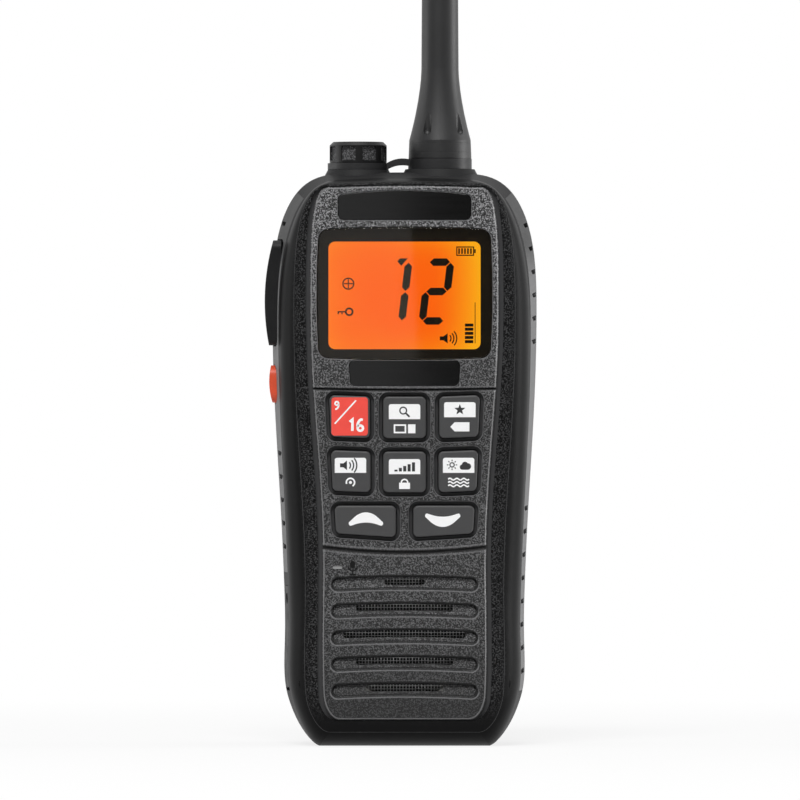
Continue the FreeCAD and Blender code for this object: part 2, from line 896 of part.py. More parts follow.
def side_grip(side, foot, skin):
    body = skin.common(grip_region(side, foot, grip_front, grip_back, close_fit / 2))
    widest = widest_outline()
    cuts = []
    for z in rib_heights(side):
        reach = widest.side_at(z)
        x0, x1 = sorted((side * (reach - rib_groove_depth), side * FAR))
        groove = block(x0, x1, rib_groove_front, grip_back - 1.6, z - rib_groove / 2, z + rib_groove / 2)
        groove.rotate(Vector(side * reach, 0, z), Vector(0, -side, 0), rib_groove_lean)
        cuts.append(groove)
    if side < 0:
        cuts += [talk_key_pocket(free_fit), power_key_pocket(free_fit)]
    return body.cut(cuts)


def rib_heights(side):
    """Grooves between the grip ribs: a lower run, and an upper run beside the display."""
    low_count, high_count = 8, 6
    if side > 0:
        low_first, high_first = 17.3, 93.2
    else:
        low_first, low_count = 46.0, 5
        high_first, high_count = 120.4, 1
    rows = [low_first + rib_pitch * i for i in range(low_count)]
    return rows + [high_first + rib_pitch * i for i in range(high_count)]


def boss(x, radius, top):
    cone = Part.makeCone(radius + boss_flare, radius, boss_drop, Vector(x, top_centre_y, top - boss_drop))
    return cone.fuse(rod_z(x, top_centre_y, radius + boss_flare, top - boss_drop - boss_depth, top - boss_drop))


def rear_cavity():
    outline = seam_outline().inset(rear_side_wall, rear_side_wall + 0.8)
    return outline.prism(seam_plane - 1, rear_wall_front)


def bulge_cavity():
    """Room behind the upper wall for the jack and the aerial socket."""
    half = top_screw_x - rear_post_radius - 0.6
    return block(-half, half, rear_wall_front - 1, back_plane - 4.5, pack_top + bay_ceiling, jack_boss_top - 6.7)


def rear_shell(casing, skin):
    body = casing.cut([pack_region(rear_wall_back, pack_top + 2 * pack_gap)])
    body = body.cut([rear_cavity(), bulge_cavity()])
    body = body.fuse([boss(jack_x, jack_boss_radius, jack_boss_top), boss(aerial_x, aerial_boss_radius, aerial_boss_top)])
    body = body.fuse([rod_y(x, z, rear_post_radius, seam_plane, rear_wall_front + 0.5) for x, z in screw_places()])
    cuts = [skin.common(grip_region(1, grip_foot, grip_front, grip_back)),
            skin.common(grip_region(-1, left_grip_foot(), grip_front, grip_back)),
            skin.common(flap_region(0.0))]
    cuts += [talk_key_pocket(free_fit), power_key_pocket(free_fit), port_hole()]
    for z, half, travel in plunger_places().values():
        cuts.append(block(-side_pocket_floor - 1, -20, side_keys_depth - 1.6 - free_fit, side_keys_depth + 1.6 + free_fit,
                          z - half - free_fit, z + half + free_fit))
    seal = seam_outline()
    groove = seal.inset(seal_inset - close_fit).prism(seam_plane - 1, seam_plane + seal_depth)
    groove = groove.cut(seal.inset(seal_inset + seal_width + close_fit).prism(seam_plane - 2, seam_plane + seal_depth + 1))
    cuts.append(groove)
    cuts += pack_tabs(close_fit)
    cuts += [rod_z(jack_x, top_centre_y, cap_plug_radius + 0.08, jack_boss_top - 12, jack_boss_top + 1),
             rod_z(aerial_x, top_centre_y, socket_radius + close_fit / 2, jack_boss_top - 12, aerial_boss_top + 1)]
    for x, z in screw_places():
        cuts.append(rod_y(x, z, shell_screw_radius + free_fit, seam_plane - 1, rear_wall_back))
        cuts.append(rod_y(x, z, shell_screw_head_radius + free_fit, rear_wall_back - shell_screw_seat, FAR))
    block_half, block_low, block_high = contact_block_room(close_fit)
    cuts.append(block(-block_half, block_half, rear_wall_front - 1, rear_wall_back + 1, block_low, block_high))
    for x in (-clip_screw_x(), clip_screw_x()):
        cuts.append(rod_y(x, clip_screw_z(), 1.1, back_plane - 4.4, back_plane + 1))
    cuts.append(block(eyelet_x - eyelet_thickness / 2 - close_fit / 2, eyelet_x + eyelet_thickness / 2 + close_fit / 2,
                      back_plane - eyelet_foot_depth(), back_plane + 1,
                      eyelet_height - 3 - close_fit / 2, eyelet_height + 3 + close_fit / 2))
    body = body.cut(cuts)
    return joined([body] + latch_catch())


def latch_catch():
    """Lip and upright nib under the pack, which the latch's tongue hooks behind."""
    half = tongue_half_width + 1.2
    lip = block(-half, half, rear_wall_back - 0.5, nib_front + nib_thickness, 0, lip_thickness)
    nib = block(-half, half, nib_front, nib_front + nib_thickness, lip_thickness - 0.1, nib_top)
    return [lip, nib]


def main_gasket():
    seal = seam_outline()
    ring = seal.inset(seal_inset).prism(seam_plane, seam_plane + seal_depth - 0.05)
    return ring.cut(seal.inset(seal_inset + seal_width).prism(seam_plane - 1, seam_plane + seal_depth + 1))


def shell_screws():
    solids = []
    for x, z in screw_places():
        seat = rear_wall_back - shell_screw_seat
        head = rod_y(x, z, shell_screw_head_radius, seat, seat + shell_screw_head)
        head = head.cut(block(x - 1.7, x + 1.7, seat + 0.8, seat + 3, z - 0.3, z + 0.3))
        head = head.cut(block(x - 0.3, x + 0.3, seat + 0.8, seat + 3, z - 1.7, z + 1.7))
        shank = rod_y(x, z, shell_screw_radius, seam_plane - shell_screw_grip() + 0.3, seat)
        solids.append(joined([head, shank]))
    return Part.makeCompound(solids)


# Keys on the side

def side_key_profile(foot, top, proud):
    """The key's outline seen from the front: it follows the casing's side and bows out past it."""
    widest = widest_outline()
    low = -(widest.side_at(foot) + proud * 0.5)
    high = -(widest.side_at(top) + proud * 0.5)
    bow_z = foot + (top - foot) * 0.42
    bow = -(widest.side_at(bow_z) + proud)
    outer = Part.Arc(Vector(low, 0, foot), Vector(bow, 0, bow_z), Vector(high, 0, top)).toShape()
    back = -side_key_back
    return Part.Wire([outer,
                      Part.LineSegment(Vector(high, 0, top), Vector(back, 0, top)).toShape(),
                      Part.LineSegment(Vector(back, 0, top), Vector(back, 0, foot)).toShape(),
                      Part.LineSegment(Vector(back, 0, foot), Vector(low, 0, foot)).toShape()])


def side_key(foot, top, width, proud, corner):
    profile = Part.Face(side_key_profile(foot, top, proud))
    profile.translate(Vector(0, side_keys_depth - width / 2, 0))
    body = profile.extrude(Vector(0, width, 0))
    outline = rounded_block(-FAR, 0, side_keys_depth - width / 2, side_keys_depth + width / 2, foot, top,
                            corner, Vector(1, 0, 0))
    return body.common(outline)


def talk_key():
    body = side_key(talk_key_foot, talk_key_top, talk_key_width, talk_key_proud, 1.9)
    widest = widest_outline()
    cuts = []
    for z in (101.1, 104.6, 108.1):
        cuts.append(block(-FAR, -(widest.side_at(z) + talk_key_proud - 0.75), side_keys_depth - talk_key_width / 2 + 1.2,
                          side_keys_depth + talk_key_width / 2 - 1.2, z - 0.4, z + 0.4))
    return body.cut(cuts)


def power_key():
    return side_key(power_key_foot, power_key_top, power_key_width, power_key_proud, power_key_width / 2 - 0.2)


def plunger(name):
    """Stem through the pocket floor, with the flange that keeps the key in its pocket."""
    z, half, travel = plunger_places()[name]
    flange_outer = flange_seat(name)
    stem = block(-side_key_back, -flange_outer, side_keys_depth - 1.6, side_keys_depth + 1.6, z - half, z + half)
    flange = block(-flange_outer, -flange_outer + plunger_flange, side_keys_depth - 1.6 - plunger_reach,
                   side_keys_depth + 1.6 + plunger_reach, z - half - plunger_reach, z + half + plunger_reach)
    return joined([stem, flange])


def flange_seat(name):
    """Half-width just inside the side wall, at whichever end of the flange the wall leans in more."""
    z, half, travel = plunger_places()[name]
    inner = seam_outline().inset(rear_side_wall)
    reach = half + plunger_reach
    return min(inner.side_at(z - reach), inner.side_at(z + reach)) - free_fit


def switch_face(name):
    """X of a side switch's button, just out of reach of the fully pressed plunger."""
    travel = plunger_places()[name][2]
    return -(flange_seat(name) - plunger_flange - travel - close_fit)


def side_board():
    """Small board beside the side keys, with one switch behind each plunger."""
    outer = side_board_outer()
    solids = [block(outer, outer + 1.0, side_keys_depth - 4.3, side_keys_depth + 3.2,
                    power_key_foot - 1.5, talk_key_top - 3.0)]
    for name in plunger_places():
        z, half, travel = plunger_places()[name]
        face = switch_face(name)
        body = block(face + 0.5, side_board_outer() - 0.02, side_keys_depth - 2.2, side_keys_depth + 2.2, z - 2.2, z + 2.2)
        button = rod_x(side_keys_depth, z, 1.2, face, face + 0.6)
        solids.append(joined([body, button]))
    return Part.makeCompound(solids)


def side_board_outer():
    return -(chassis_half_width + 0.05) - 1.0


# Charging port

def left_grip_foot():
    return flap_top + 3.0


def flap_region(gap):
    return block(-FAR, -10, flap_front + gap, flap_back - gap, flap_foot + gap, flap_top - gap)


def port_flap(skin):
    """Rubber flap that turns on the rolled bead at its foot."""
    pivot_x, pivot_z = -(lower_half_width - flap_hinge_inset), flap_foot + close_fit + flap_bead_radius
    body = skin.common(flap_region(close_fit)).cut(block(-FAR, 0, -FAR, FAR, -1, pivot_z))
    bead = Part.makeCylinder(flap_bead_radius, flap_back - close_fit - side_front_plane,
                             Vector(pivot_x, side_front_plane, pivot_z), Vector(0, 1, 0))
    body = joined([body, bead])
    pull_z = flap_top - 3.0
    outer = widest_outline().side_at(pull_z)
    return body.cut(rod_x(flap_front + 2.2, pull_z, 1.3, -FAR, -(outer - 1.6)))


def port_middle_y():
    return board_back + 0.05 + port_thickness / 2


def port_hole():
    half_y, half_z = port_thickness / 2 + 0.4, port_width / 2 + 0.6
    return rounded_block(-FAR, -15, port_middle_y() - half_y, port_middle_y() + half_y,
                         port_height - half_z, port_height + half_z, 1.2, Vector(1, 0, 0)).common(
        block(-(lower_half_width - grip_thickness + 0.5), -15, -FAR, FAR, 0, 60))


def charging_socket():
    mouth = -(lower_half_width - grip_thickness - 1.0)
    half_y, half_z = port_thickness / 2, port_width / 2
    y, z = port_middle_y(), port_height
    body = rounded_block(mouth, mouth + port_length, y - half_y, y + half_y, z - half_z, z + half_z,
                         half_y - 0.05, Vector(1, 0, 0))
    opening = rounded_block(mouth - 1, mouth + port_length - 1, y - half_y + 0.35, y + half_y - 0.35,
                            z - half_z + 0.35, z + half_z - 0.35, half_y - 0.45, Vector(1, 0, 0))
    tongue = block(mouth + 0.8, mouth + port_length - 0.5, y - 0.35, y + 0.35, z - half_z + 1.2, z + half_z - 1.2)
    return joined([body.cut(opening), tongue])


# Inside the casing

def lcd_size(margin):
    return glass_opening_width / 2 + margin, glass_opening_height / 2 + margin


def lcd_panel():
    w, h = lcd_size(lcd_margin)
    front = wall_back + close_fit
    return block(-w, w, front, front + lcd_thickness, window_centre - h, window_centre + h)


def backlight():
    w, h = lcd_size(lcd_margin - 0.4)
    front = wall_back + close_fit + lcd_thickness + 0.02
    return block(-w, w, front, board_front - 0.02, window_centre - h, window_centre + h)


def keypad_mat():
    front = board_front - mat_thickness
    lows = [c[1] for corners in key_layout().values() for c in corners]
    return rounded_block(-mat_half_width, mat_half_width, front, board_front, min(lows) - 1.2, max(lows) + 1.6, 1.5)


def board_screw_places():
    return [(s * board_screw_x, z) for s in (-1, 1) for z in (upper_board_screw_z, lower_board_screw_z)]


def main_board():
    body = block(-board_half_width, board_half_width, board_front, board_back, board_foot, board_top)
    cuts = [rod_y(0, slot_middle_height, magnet_radius + 0.8, board_front - 1, board_back + 1)]
    for x, z in screw_places():
        cuts.append(rod_y(x, z, rear_post_radius + free_fit, board_front - 1, board_back + 1))
    for x, z in board_screw_places():
        cuts.append(rod_y(x, z, 1.1, board_front - 1, board_back + 1))
    return body.cut(cuts)


def shield_cans():
    big = rounded_block(-14.5, 14.5, board_back, board_back + can_height, 88.0, 110.0, 1.0)
    small = rounded_block(-13.0, 12.0, board_back, board_back + can_height, 50.0, 76.0, 1.0)
    return Part.makeCompound([big, small])


def chassis_frame():
    plate_back = chassis_plate_front + chassis_plate_thickness
    plate = block(-chassis_half_width, chassis_half_width, chassis_plate_front, plate_back, chassis_foot, chassis_top)
    flange_front = board_back + 0.2
    cuts = []
    parts = [plate]
    for side in (-1, 1):
        inner = side * (chassis_half_width - chassis_flange)
        outer = side * chassis_half_width
        parts.append(block(min(inner, outer), max(inner, outer), flange_front, plate_back,
                           mid_screw_z + 6, chassis_top))
    for x, z in board_screw_places():
        parts.append(rod_y(x, z, standoff_radius, board_back, chassis_plate_front + 0.2))
        cuts.append(rod_y(x, z, 0.85, board_back - 1, plate_back + 1))
    for x in (-14.0, 14.0):
        for z in (chassis_foot + 6, chassis_top - 30):
            parts.append(rod_y(x, z, 2.4, plate_back - 0.2, rear_wall_front - 0.02))
    for x, z in screw_places():
        cuts.append(rod_y(x, z, rear_post_radius + free_fit, chassis_plate_front - 1, plate_back + 1))
    return joined(parts).cut(cuts)


def board_screws():
    solids = []
    for x, z in board_screw_places():
        head = rod_y(x, z, 1.6, board_front - 0.9, board_front)
        head = head.cut(block(x - 1.1, x + 1.1, board_front - 2, board_front - 0.5, z - 0.2, z + 0.2))
        head = head.cut(block(x - 0.2, x + 0.2, board_front - 2, board_front - 0.5, z - 1.1, z + 1.1))
        solids.append(joined([head, rod_y(x, z, 0.8, board_front, chassis_plate_front + 1.2)]))
    return Part.makeCompound(solids)


def speaker_basket():
    """Rim ring and stepped basket round the magnet."""
    front = wall_back + mesh_thickness + 0.02
    middle = Vector(0, 0, slot_middle_height)
    back = front + speaker_rim
    magnet_front = back - 0.8
    profile = [(speaker_radius, front), (speaker_radius, front + 1.2), (speaker_radius - 2.5, back),
               (magnet_radius - 1.5, back), (magnet_radius - 1.5, magnet_front),
               (speaker_radius - 3.4, magnet_front), (speaker_radius - 1.4, front)]
    wire = Part.makePolygon([Vector(r, y, 0) for r, y in profile + profile[:1]])
    solid = Part.Face(wire).revolve(Vector(0, 0, 0), Vector(0, 1, 0), 360)
    solid.translate(middle)
    return solid


def speaker_cone():
    """Paper cone with its dust cap, hung inside the basket's rim."""
    front = wall_back + mesh_thickness + 0.35
    profile = [(0.0, front + 0.2), (3.0, front + 0.6), (speaker_radius - 2.0, front), (speaker_radius - 2.1, front + 0.35),
               (3.2, front + 1.2), (0.0, front + 0.9)]
    wire = Part.makePolygon([Vector(r, y, 0) for r, y in profile + profile[:1]])
    solid = Part.Face(wire).revolve(Vector(0, 0, 0), Vector(0, 1, 0), 360)
    solid.translate(Vector(0, 0, slot_middle_height))
    return solid


def speaker_magnet():
    front = wall_back + mesh_thickness + 0.02 + speaker_rim
    plate = rod_y(0, slot_middle_height, magnet_radius, front, front + magnet_depth)
    pole = rod_y(0, slot_middle_height, magnet_radius - 1.6, front - 0.8, front)
    return joined([plate, pole])


def speaker_mesh():
    return rod_y(0, slot_middle_height, speaker_radius + 0.4, wall_back, wall_back + mesh_thickness)


def microphone():
    """Capsule in the rubber boot that holds it between the front wall and the board."""
    front = wall_back + 0.05
    capsule = rod_y(mic_centre_x, mic_height, mic_radius, front, front + mic_length)
    boot = rod_y(mic_centre_x, mic_height, mic_radius + 0.05 + mic_boot_wall, wall_back + 0.02, board_front - 0.02)
    boot = boot.cut(rod_y(mic_centre_x, mic_height, mic_radius + 0.05, wall_back - 1, wall_back + 0.2 + mic_length))
    return Part.makeCompound([capsule, boot])


def contact_block_room(gap):
    half = contact_pitch + 3.0 + gap
    return half, contact_height - 4.0 - gap, contact_height + 4.0 + gap


def contact_columns():
    return [-contact_pitch, 0.0, contact_pitch]


def contact_block():
    half, low, high = contact_block_room(0.0)
    body = block(-half, half, rear_wall_front - 0.9, rear_wall_back, low, high)
    back_flange = block(-half - 1.2, half + 1.2, rear_wall_front - 0.9, rear_wall_front - 0.05, low - 1.2, high + 1.2)
    holes = [rod_y(x, contact_height, contact_radius + 0.05, rear_wall_front - 3, rear_wall_back + 1)
             for x in contact_columns()]
    return joined([body, back_flange]).cut(holes)


def contact_pins():
    pins = [rod_y(x, contact_height, contact_radius, rear_wall_front - 2.2, pack_front - 0.02) for x in contact_columns()]
    return Part.makeCompound(pins)


# Jack cap, tether and aerial

def audio_jack():
    top = cap_foot - cap_plug_length - 0.5
    body_top = jack_boss_top - boss_drop - boss_depth - 0.02
    collar = rod_z(jack_x, top_centre_y, cap_plug_radius, body_top - 0.1, top)
    body = block(jack_x - 4, jack_x + 4, top_centre_y - 4, top_centre_y + 4, body_top - 12, body_top)
    return joined([collar, body]).cut(rod_z(jack_x, top_centre_y, 1.8, body_top - 10, top + 1))


def jack_cap():
    head = rod_z(jack_x, top_centre_y, cap_radius, cap_foot, cap_top)
    head = head.makeChamfer(cap_edge, [e for e in head.Edges if e.BoundBox.ZMin > cap_top - STEP * 10])
    scallop_foot, scallop_top = cap_foot + 0.5, cap_top - cap_edge - 0.25
    cuts = []
    for i in range(cap_grip_count):
        a = math.radians(360 / cap_grip_count * (i + 0.5) + 2)
        pad = block(cap_radius - cap_recess_depth, cap_radius + 2, -cap_recess_half, cap_recess_half,
                    scallop_foot, scallop_top)
        pad.rotate(Vector(0, 0, 0), Vector(0, 0, 1), math.degrees(a))
        pad.translate(Vector(jack_x, top_centre_y, 0))
        cuts.append(pad)
    head = head.cut(cuts)
    plug = rod_z(jack_x, top_centre_y, cap_plug_radius, cap_foot - cap_plug_length, cap_foot + 0.1)
    return joined([head, plug])


def cap_seal():
    inner = cap_plug_radius + 0.02
    ring = Part.makeTorus(inner + seal_ring / 2, seal_ring / 2, Vector(jack_x, top_centre_y, cap_foot - seal_ring / 2 - 0.02))
    return ring


def cap_tether():
    """Rubber strap that ties the cap's ring to the ring under the aerial."""
    foot = jack_boss_top + tether_gap
    cap_ring = rod_z(jack_x, top_centre_y, cap_ring_radius, foot, foot + cap_ring_height)
    aerial_ring_foot = aerial_boss_top + tether_gap
    aerial_ring = rod_z(aerial_x, top_centre_y, aerial_ring_radius, aerial_ring_foot, aerial_ring_foot + aerial_ring_height)
    x0, x1 = jack_x + cap_ring_radius - 0.45, aerial_x - aerial_ring_radius + 0.8
    z0 = foot + cap_ring_height - strap_thickness
    z1 = aerial_ring_foot + aerial_ring_height - strap_thickness - 0.2
    mid_x, mid_z = (x0 + x1) / 2 + 0.8, (z0 + z1) / 2 + strap_rise
    y = top_centre_y - strap_width / 2
    under = Part.Arc(Vector(x0, y, z0), Vector(mid_x, y, mid_z), Vector(x1, y, z1)).toShape()
    over = Part.Arc(Vector(x1, y, z1 + strap_thickness), Vector(mid_x, y, mid_z + strap_thickness),
                    Vector(x0, y, z0 + strap_thickness)).toShape()
    sides = [Part.LineSegment(Vector(x1, y, z1), Vector(x1, y, z1 + strap_thickness)).toShape(),
             Part.LineSegment(Vector(x0, y, z0 + strap_thickness), Vector(x0, y, z0)).toShape()]
    strap = Part.Face(Part.Wire([under, sides[0], over, sides[1]])).extrude(Vector(0, strap_width, 0))
    bore_top = aerial_ring_foot + aerial_ring_height + 3
    cuts = [rod_z(jack_x, top_centre_y, cap_plug_radius + seal_ring + free_fit, foot - 1, bore_top),
            rod_z(aerial_x, top_centre_y, aerial_gasket_radius() + close_fit, foot - 1, bore_top)]
    return joined([cap_ring, aerial_ring, strap]).cut(cuts)


def aerial_gasket_radius():
    return aerial_stub_radius + 2.1


def aerial_gasket():
    foot = aerial_boss_top + close_fit
    body = rod_z(aerial_x, top_centre_y, aerial_gasket_radius(), foot, aerial_foot - 0.02)
    return body.cut(rod_z(aerial_x, top_centre_y, aerial_stub_radius + 0.03, foot - 1, aerial_foot + 1))


def aerial_profile():
    """Half-section of the rubber sleeve: collar, concave flare, slow taper and round tip."""
    collar_top = aerial_foot + aerial_collar_height
    points = [Vector(0, 0, aerial_foot), Vector(aerial_base_radius, 0, aerial_foot)]
    edges = [Part.LineSegment(points[0], points[1]).toShape()]
    shoulder = Vector(aerial_collar_radius, 0, collar_top)
    edges.append(Part.LineSegment(points[1], shoulder).toShape())
    flare = []
    steps = 8
    for i in range(steps + 1):
        u = i / steps
        r = aerial_neck_radius + (aerial_collar_radius - aerial_neck_radius) * (1 - u) ** aerial_flare_power
        flare.append(Vector(r, 0, collar_top + aerial_flare_height * u))
    curve = Part.BSplineCurve()
    curve.interpolate(flare)
    edges.append(curve.toShape())
    tip_foot = aerial_top - aerial_tip_radius
    tip_start = Vector(aerial_tip_radius, 0, tip_foot)
    edges.append(Part.LineSegment(flare[-1], tip_start).toShape())
    diagonal = aerial_tip_radius * math.sqrt(0.5)
    tip = Vector(0, 0, aerial_top)
    edges.append(Part.Arc(tip_start, Vector(diagonal, 0, tip_foot + diagonal), tip).toShape())
    edges.append(Part.LineSegment(tip, points[0]).toShape())
    return Part.Face(Part.Wire(edges))


def aerial_sleeve():
    body = aerial_profile().revolve(Vector(0, 0, 0), Vector(0, 0, 1), 360)
    cuts = []
    for i in range(dimple_count):
        a = math.radians(45 + 360 / dimple_count * i)
        x, y = dimple_reach * math.sin(a), -dimple_reach * math.cos(a)
        cuts.append(rod_z(x, y, dimple_radius, dimple_foot, dimple_foot + 9))
        cuts.append(Part.makeSphere(dimple_radius, Vector(x, y, dimple_foot)))
    cuts.append(rod_z(0, 0, aerial_core_radius + 0.02, aerial_foot - 1, aerial_top - 8))
    cuts.append(rod_z(0, 0, aerial_stub_radius + 0.02, aerial_foot - 1, aerial_foot + 4))
    body = body.cut(cuts)
    body.translate(Vector(aerial_x, top_centre_y, 0))
    return body


def aerial_stud():
    """Metal stub with its centre pin, and the whip rod that stands on it inside the sleeve."""
    stub = rod_z(aerial_x, top_centre_y, aerial_stub_radius, aerial_foot - aerial_stub_length, aerial_foot + 4)
    pin = rod_z(aerial_x, top_centre_y, 0.6, aerial_foot - aerial_stub_length - 1.5, aerial_foot - aerial_stub_length + 0.1)
    whip = rod_z(aerial_x, top_centre_y, aerial_core_radius, aerial_foot + 3.9, aerial_top - 8.1)
    return joined([stub, pin, whip])


def aerial_socket():
    top = aerial_boss_top - 0.05
    barrel = rod_z(aerial_x, top_centre_y, socket_radius, aerial_boss_top - 11.5, top)
    tail = rod_z(aerial_x, top_centre_y, 2.6, socket_foot - 3, aerial_boss_top - 11)
    boss_foot = aerial_boss_top - boss_drop - boss_depth
    flange = rod_z(aerial_x, top_centre_y, socket_radius + 1.6, boss_foot - 1.6, boss_foot - 0.02)
    stub_foot = aerial_foot - aerial_stub_length
    bore = rod_z(aerial_x, top_centre_y, aerial_stub_radius + 0.06, stub_foot - 0.4, top + 1)
    pin_hole = rod_z(aerial_x, top_centre_y, 0.7, stub_foot - 2.5, stub_foot)
    return joined([barrel, tail, flange]).cut([bore, pin_hole])


# Battery pack

def pack_case(casing):
    body = casing.common(pack_region(pack_front, pack_top))
    body = joined([body] + pack_tabs(0.0))
    cuts = [
        block(-lid_half_width - close_fit, lid_half_width + close_fit, pack_front - 1, lid_back,
              lid_foot - close_fit, lid_top + close_fit),
        rounded_block(-cell_width - 0.6, cell_width + 0.6, lid_back - 0.5, back_plane - pack_wall,
                      cell_foot - 0.6, lid_top - 2, 1.5),
        latch_channel(),
        latch_pocket(),
    ]
    for x in (-charge_pad_x, charge_pad_x):
        cuts.append(rod_y(x, charge_pad_height, charge_pad_radius + 0.05,
                          back_plane - charge_pad_thickness - 0.1, back_plane + 1))
    return body.cut(cuts)


def latch_channel():
    half = tongue_half_width + 1.5
    front = block(-half, half, pack_front - 1, nib_front + nib_thickness + 0.3, -1, channel_ceiling)
    back = block(-half, half, nib_front + nib_thickness, back_plane - latch_plate, arm_foot - 0.8, channel_ceiling)
    return front.fuse(back)


def latch_pocket():
    front = back_plane - latch_plate - 0.1
    half = latch_half_width + 0.15
    low, high = latch_foot - 0.4, latch_foot + latch_height + latch_travel + 0.15
    window = block(-half, half, front, back_plane + 1, low, high)
    half += latch_runner
    return window.fuse(block(-half, half, front, front + latch_runner_thickness + 0.2, low, high))


def pack_lid():
    body = block(-lid_half_width, lid_half_width, pack_front, lid_back - 0.02, lid_foot, lid_top)
    cuts = []
    for x in contact_columns():
        cuts.append(pack_contact(x, close_fit / 2, 1.0))
    return body.cut(cuts)


def pack_contact(x, gap, over=0.0):
    return block(x - 1.7 - gap, x + 1.7 + gap, pack_front - over, lid_back - 0.02 + over,
                 contact_height - 2.6 - gap, contact_height + 2.6 + gap)


def pack_contacts():
    """Three contacts that meet the casing's pins, and two charging pads on the back."""
    pads = [rod_y(x, charge_pad_height, charge_pad_radius, back_plane - charge_pad_thickness, back_plane - 0.15)
            for x in (-charge_pad_x, charge_pad_x)]
    return Part.makeCompound([pack_contact(x, 0.0) for x in contact_columns()] + pads)


def battery_cells():
    front = lid_back + 0.1
    cells = []
    for side in (-1, 1):
        x0, x1 = sorted((side * 0.3, side * (0.3 + cell_width)))
        cells.append(rounded_block(x0, x1, front, front + cell_depth, cell_foot, cell_foot + cell_height, 1.2,
                                   Vector(0, 0, 1)))
    return Part.makeCompound(cells)


def battery_board():
    foot = cell_foot + cell_height + 0.5
    return block(-cell_width + 1, cell_width - 1, lid_back + 0.1, lid_back + 1.3, foot, lid_top - 3)


def battery_latch():
    """Thumb plate with grip ridges, arm and downturned tongue."""
    plate_front = back_plane - latch_plate
    foot = latch_foot
    plate = rounded_block(-latch_half_width, latch_half_width, plate_front, back_plane - 0.1, foot, foot + latch_height, 1.0)
    grooves = [block(-latch_half_width + 1.5, latch_half_width - 1.5, back_plane - 0.7, back_plane + 1,
                     foot + 2.0 + 1.5 * i, foot + 2.7 + 1.5 * i) for i in range(4)]
    plate = plate.cut(grooves)
    half = latch_half_width + latch_runner
    runner = block(-half, half, plate_front, plate_front + latch_runner_thickness, foot + 1, foot + latch_height - 1)
    arm = block(-tongue_half_width, tongue_half_width, tongue_front, plate_front + 0.3, arm_foot + 0.05, arm_foot + arm_thickness)
    tongue = block(-tongue_half_width, tongue_half_width, tongue_front, tongue_front + tongue_thickness,
                   tongue_foot, arm_foot + 0.2)
    return joined([plate, runner, arm, tongue])


def coil(x, y, z0, radius, wire, pitch, height):
    """An upright helical spring."""
    helix = Part.makeHelix(pitch, height, radius)
    section = Part.Wire([Part.Circle(Vector(radius, 0, 0), Vector(0, 1, 0), wire).toShape()])
    solid = Part.Wire(helix.Edges).makePipeShell([section], True, True)
    solid.translate(Vector(x, y, z0))
    return solid


def latch_spring():
    wire = 0.2
    foot = arm_foot + arm_thickness + 0.05 + wire
    height = channel_ceiling - 0.05 - wire - foot
    return coil(0, (nib_front + back_plane - latch_plate) / 2, foot, 1.6, wire, height / 4, height)


# Belt clip

def clip_screw_x():
    return 5.6


def clip_screw_z():
    return clip_base_top - 3.6


def eyelet_foot_depth():
    return 4.0


def clip_base():
    plate = rounded_block(-clip_base_half_width, clip_base_half_width, back_plane + 0.02, clip_base_back,
                          clip_base_foot, clip_base_top, 1.5)
    parts = [plate]
    for side in (-1, 1):
        x0, x1 = sorted((side * (clip_base_half_width - clip_ear), side * clip_base_half_width))
        ear = block(x0, x1, clip_base_back - 0.3, clip_pin_y, clip_pin_height - 2.3, clip_pin_height + 2.3)
        parts += [ear, rod_x(clip_pin_y, clip_pin_height, 2.3, x0, x1)]
    cuts = [rod_x(clip_pin_y, clip_pin_height, clip_pin_radius + 0.01, -FAR, FAR)]
    for x in (-clip_screw_x(), clip_screw_x()):
        cuts.append(rod_y(x, clip_screw_z(), 1.35, back_plane - 1, clip_base_back + 1))
        cuts.append(rod_y(x, clip_screw_z(), 2.35, clip_base_back - 1.1, clip_base_back + 1))
    return joined(parts).cut(cuts)


def clip_pin():
    return rod_x(clip_pin_y, clip_pin_height, clip_pin_radius, -clip_base_half_width, clip_base_half_width)


def clip_screws():
    solids = []
    for x in (-clip_screw_x(), clip_screw_x()):
        z = clip_screw_z()
        seat = clip_base_back - 1.1
        head = rod_y(x, z, 2.2, seat, seat + 1.0)
        head = head.cut(block(x - 1.5, x + 1.5, seat + 0.5, seat + 2, z - 0.3, z + 0.3))
        head = head.cut(block(x - 0.3, x + 0.3, seat + 0.5, seat + 2, z - 1.5, z + 1.5))
        solids.append(joined([head, rod_y(x, z, 1.05, back_plane - 4.2, seat)]))
    return Part.makeCompound(solids)


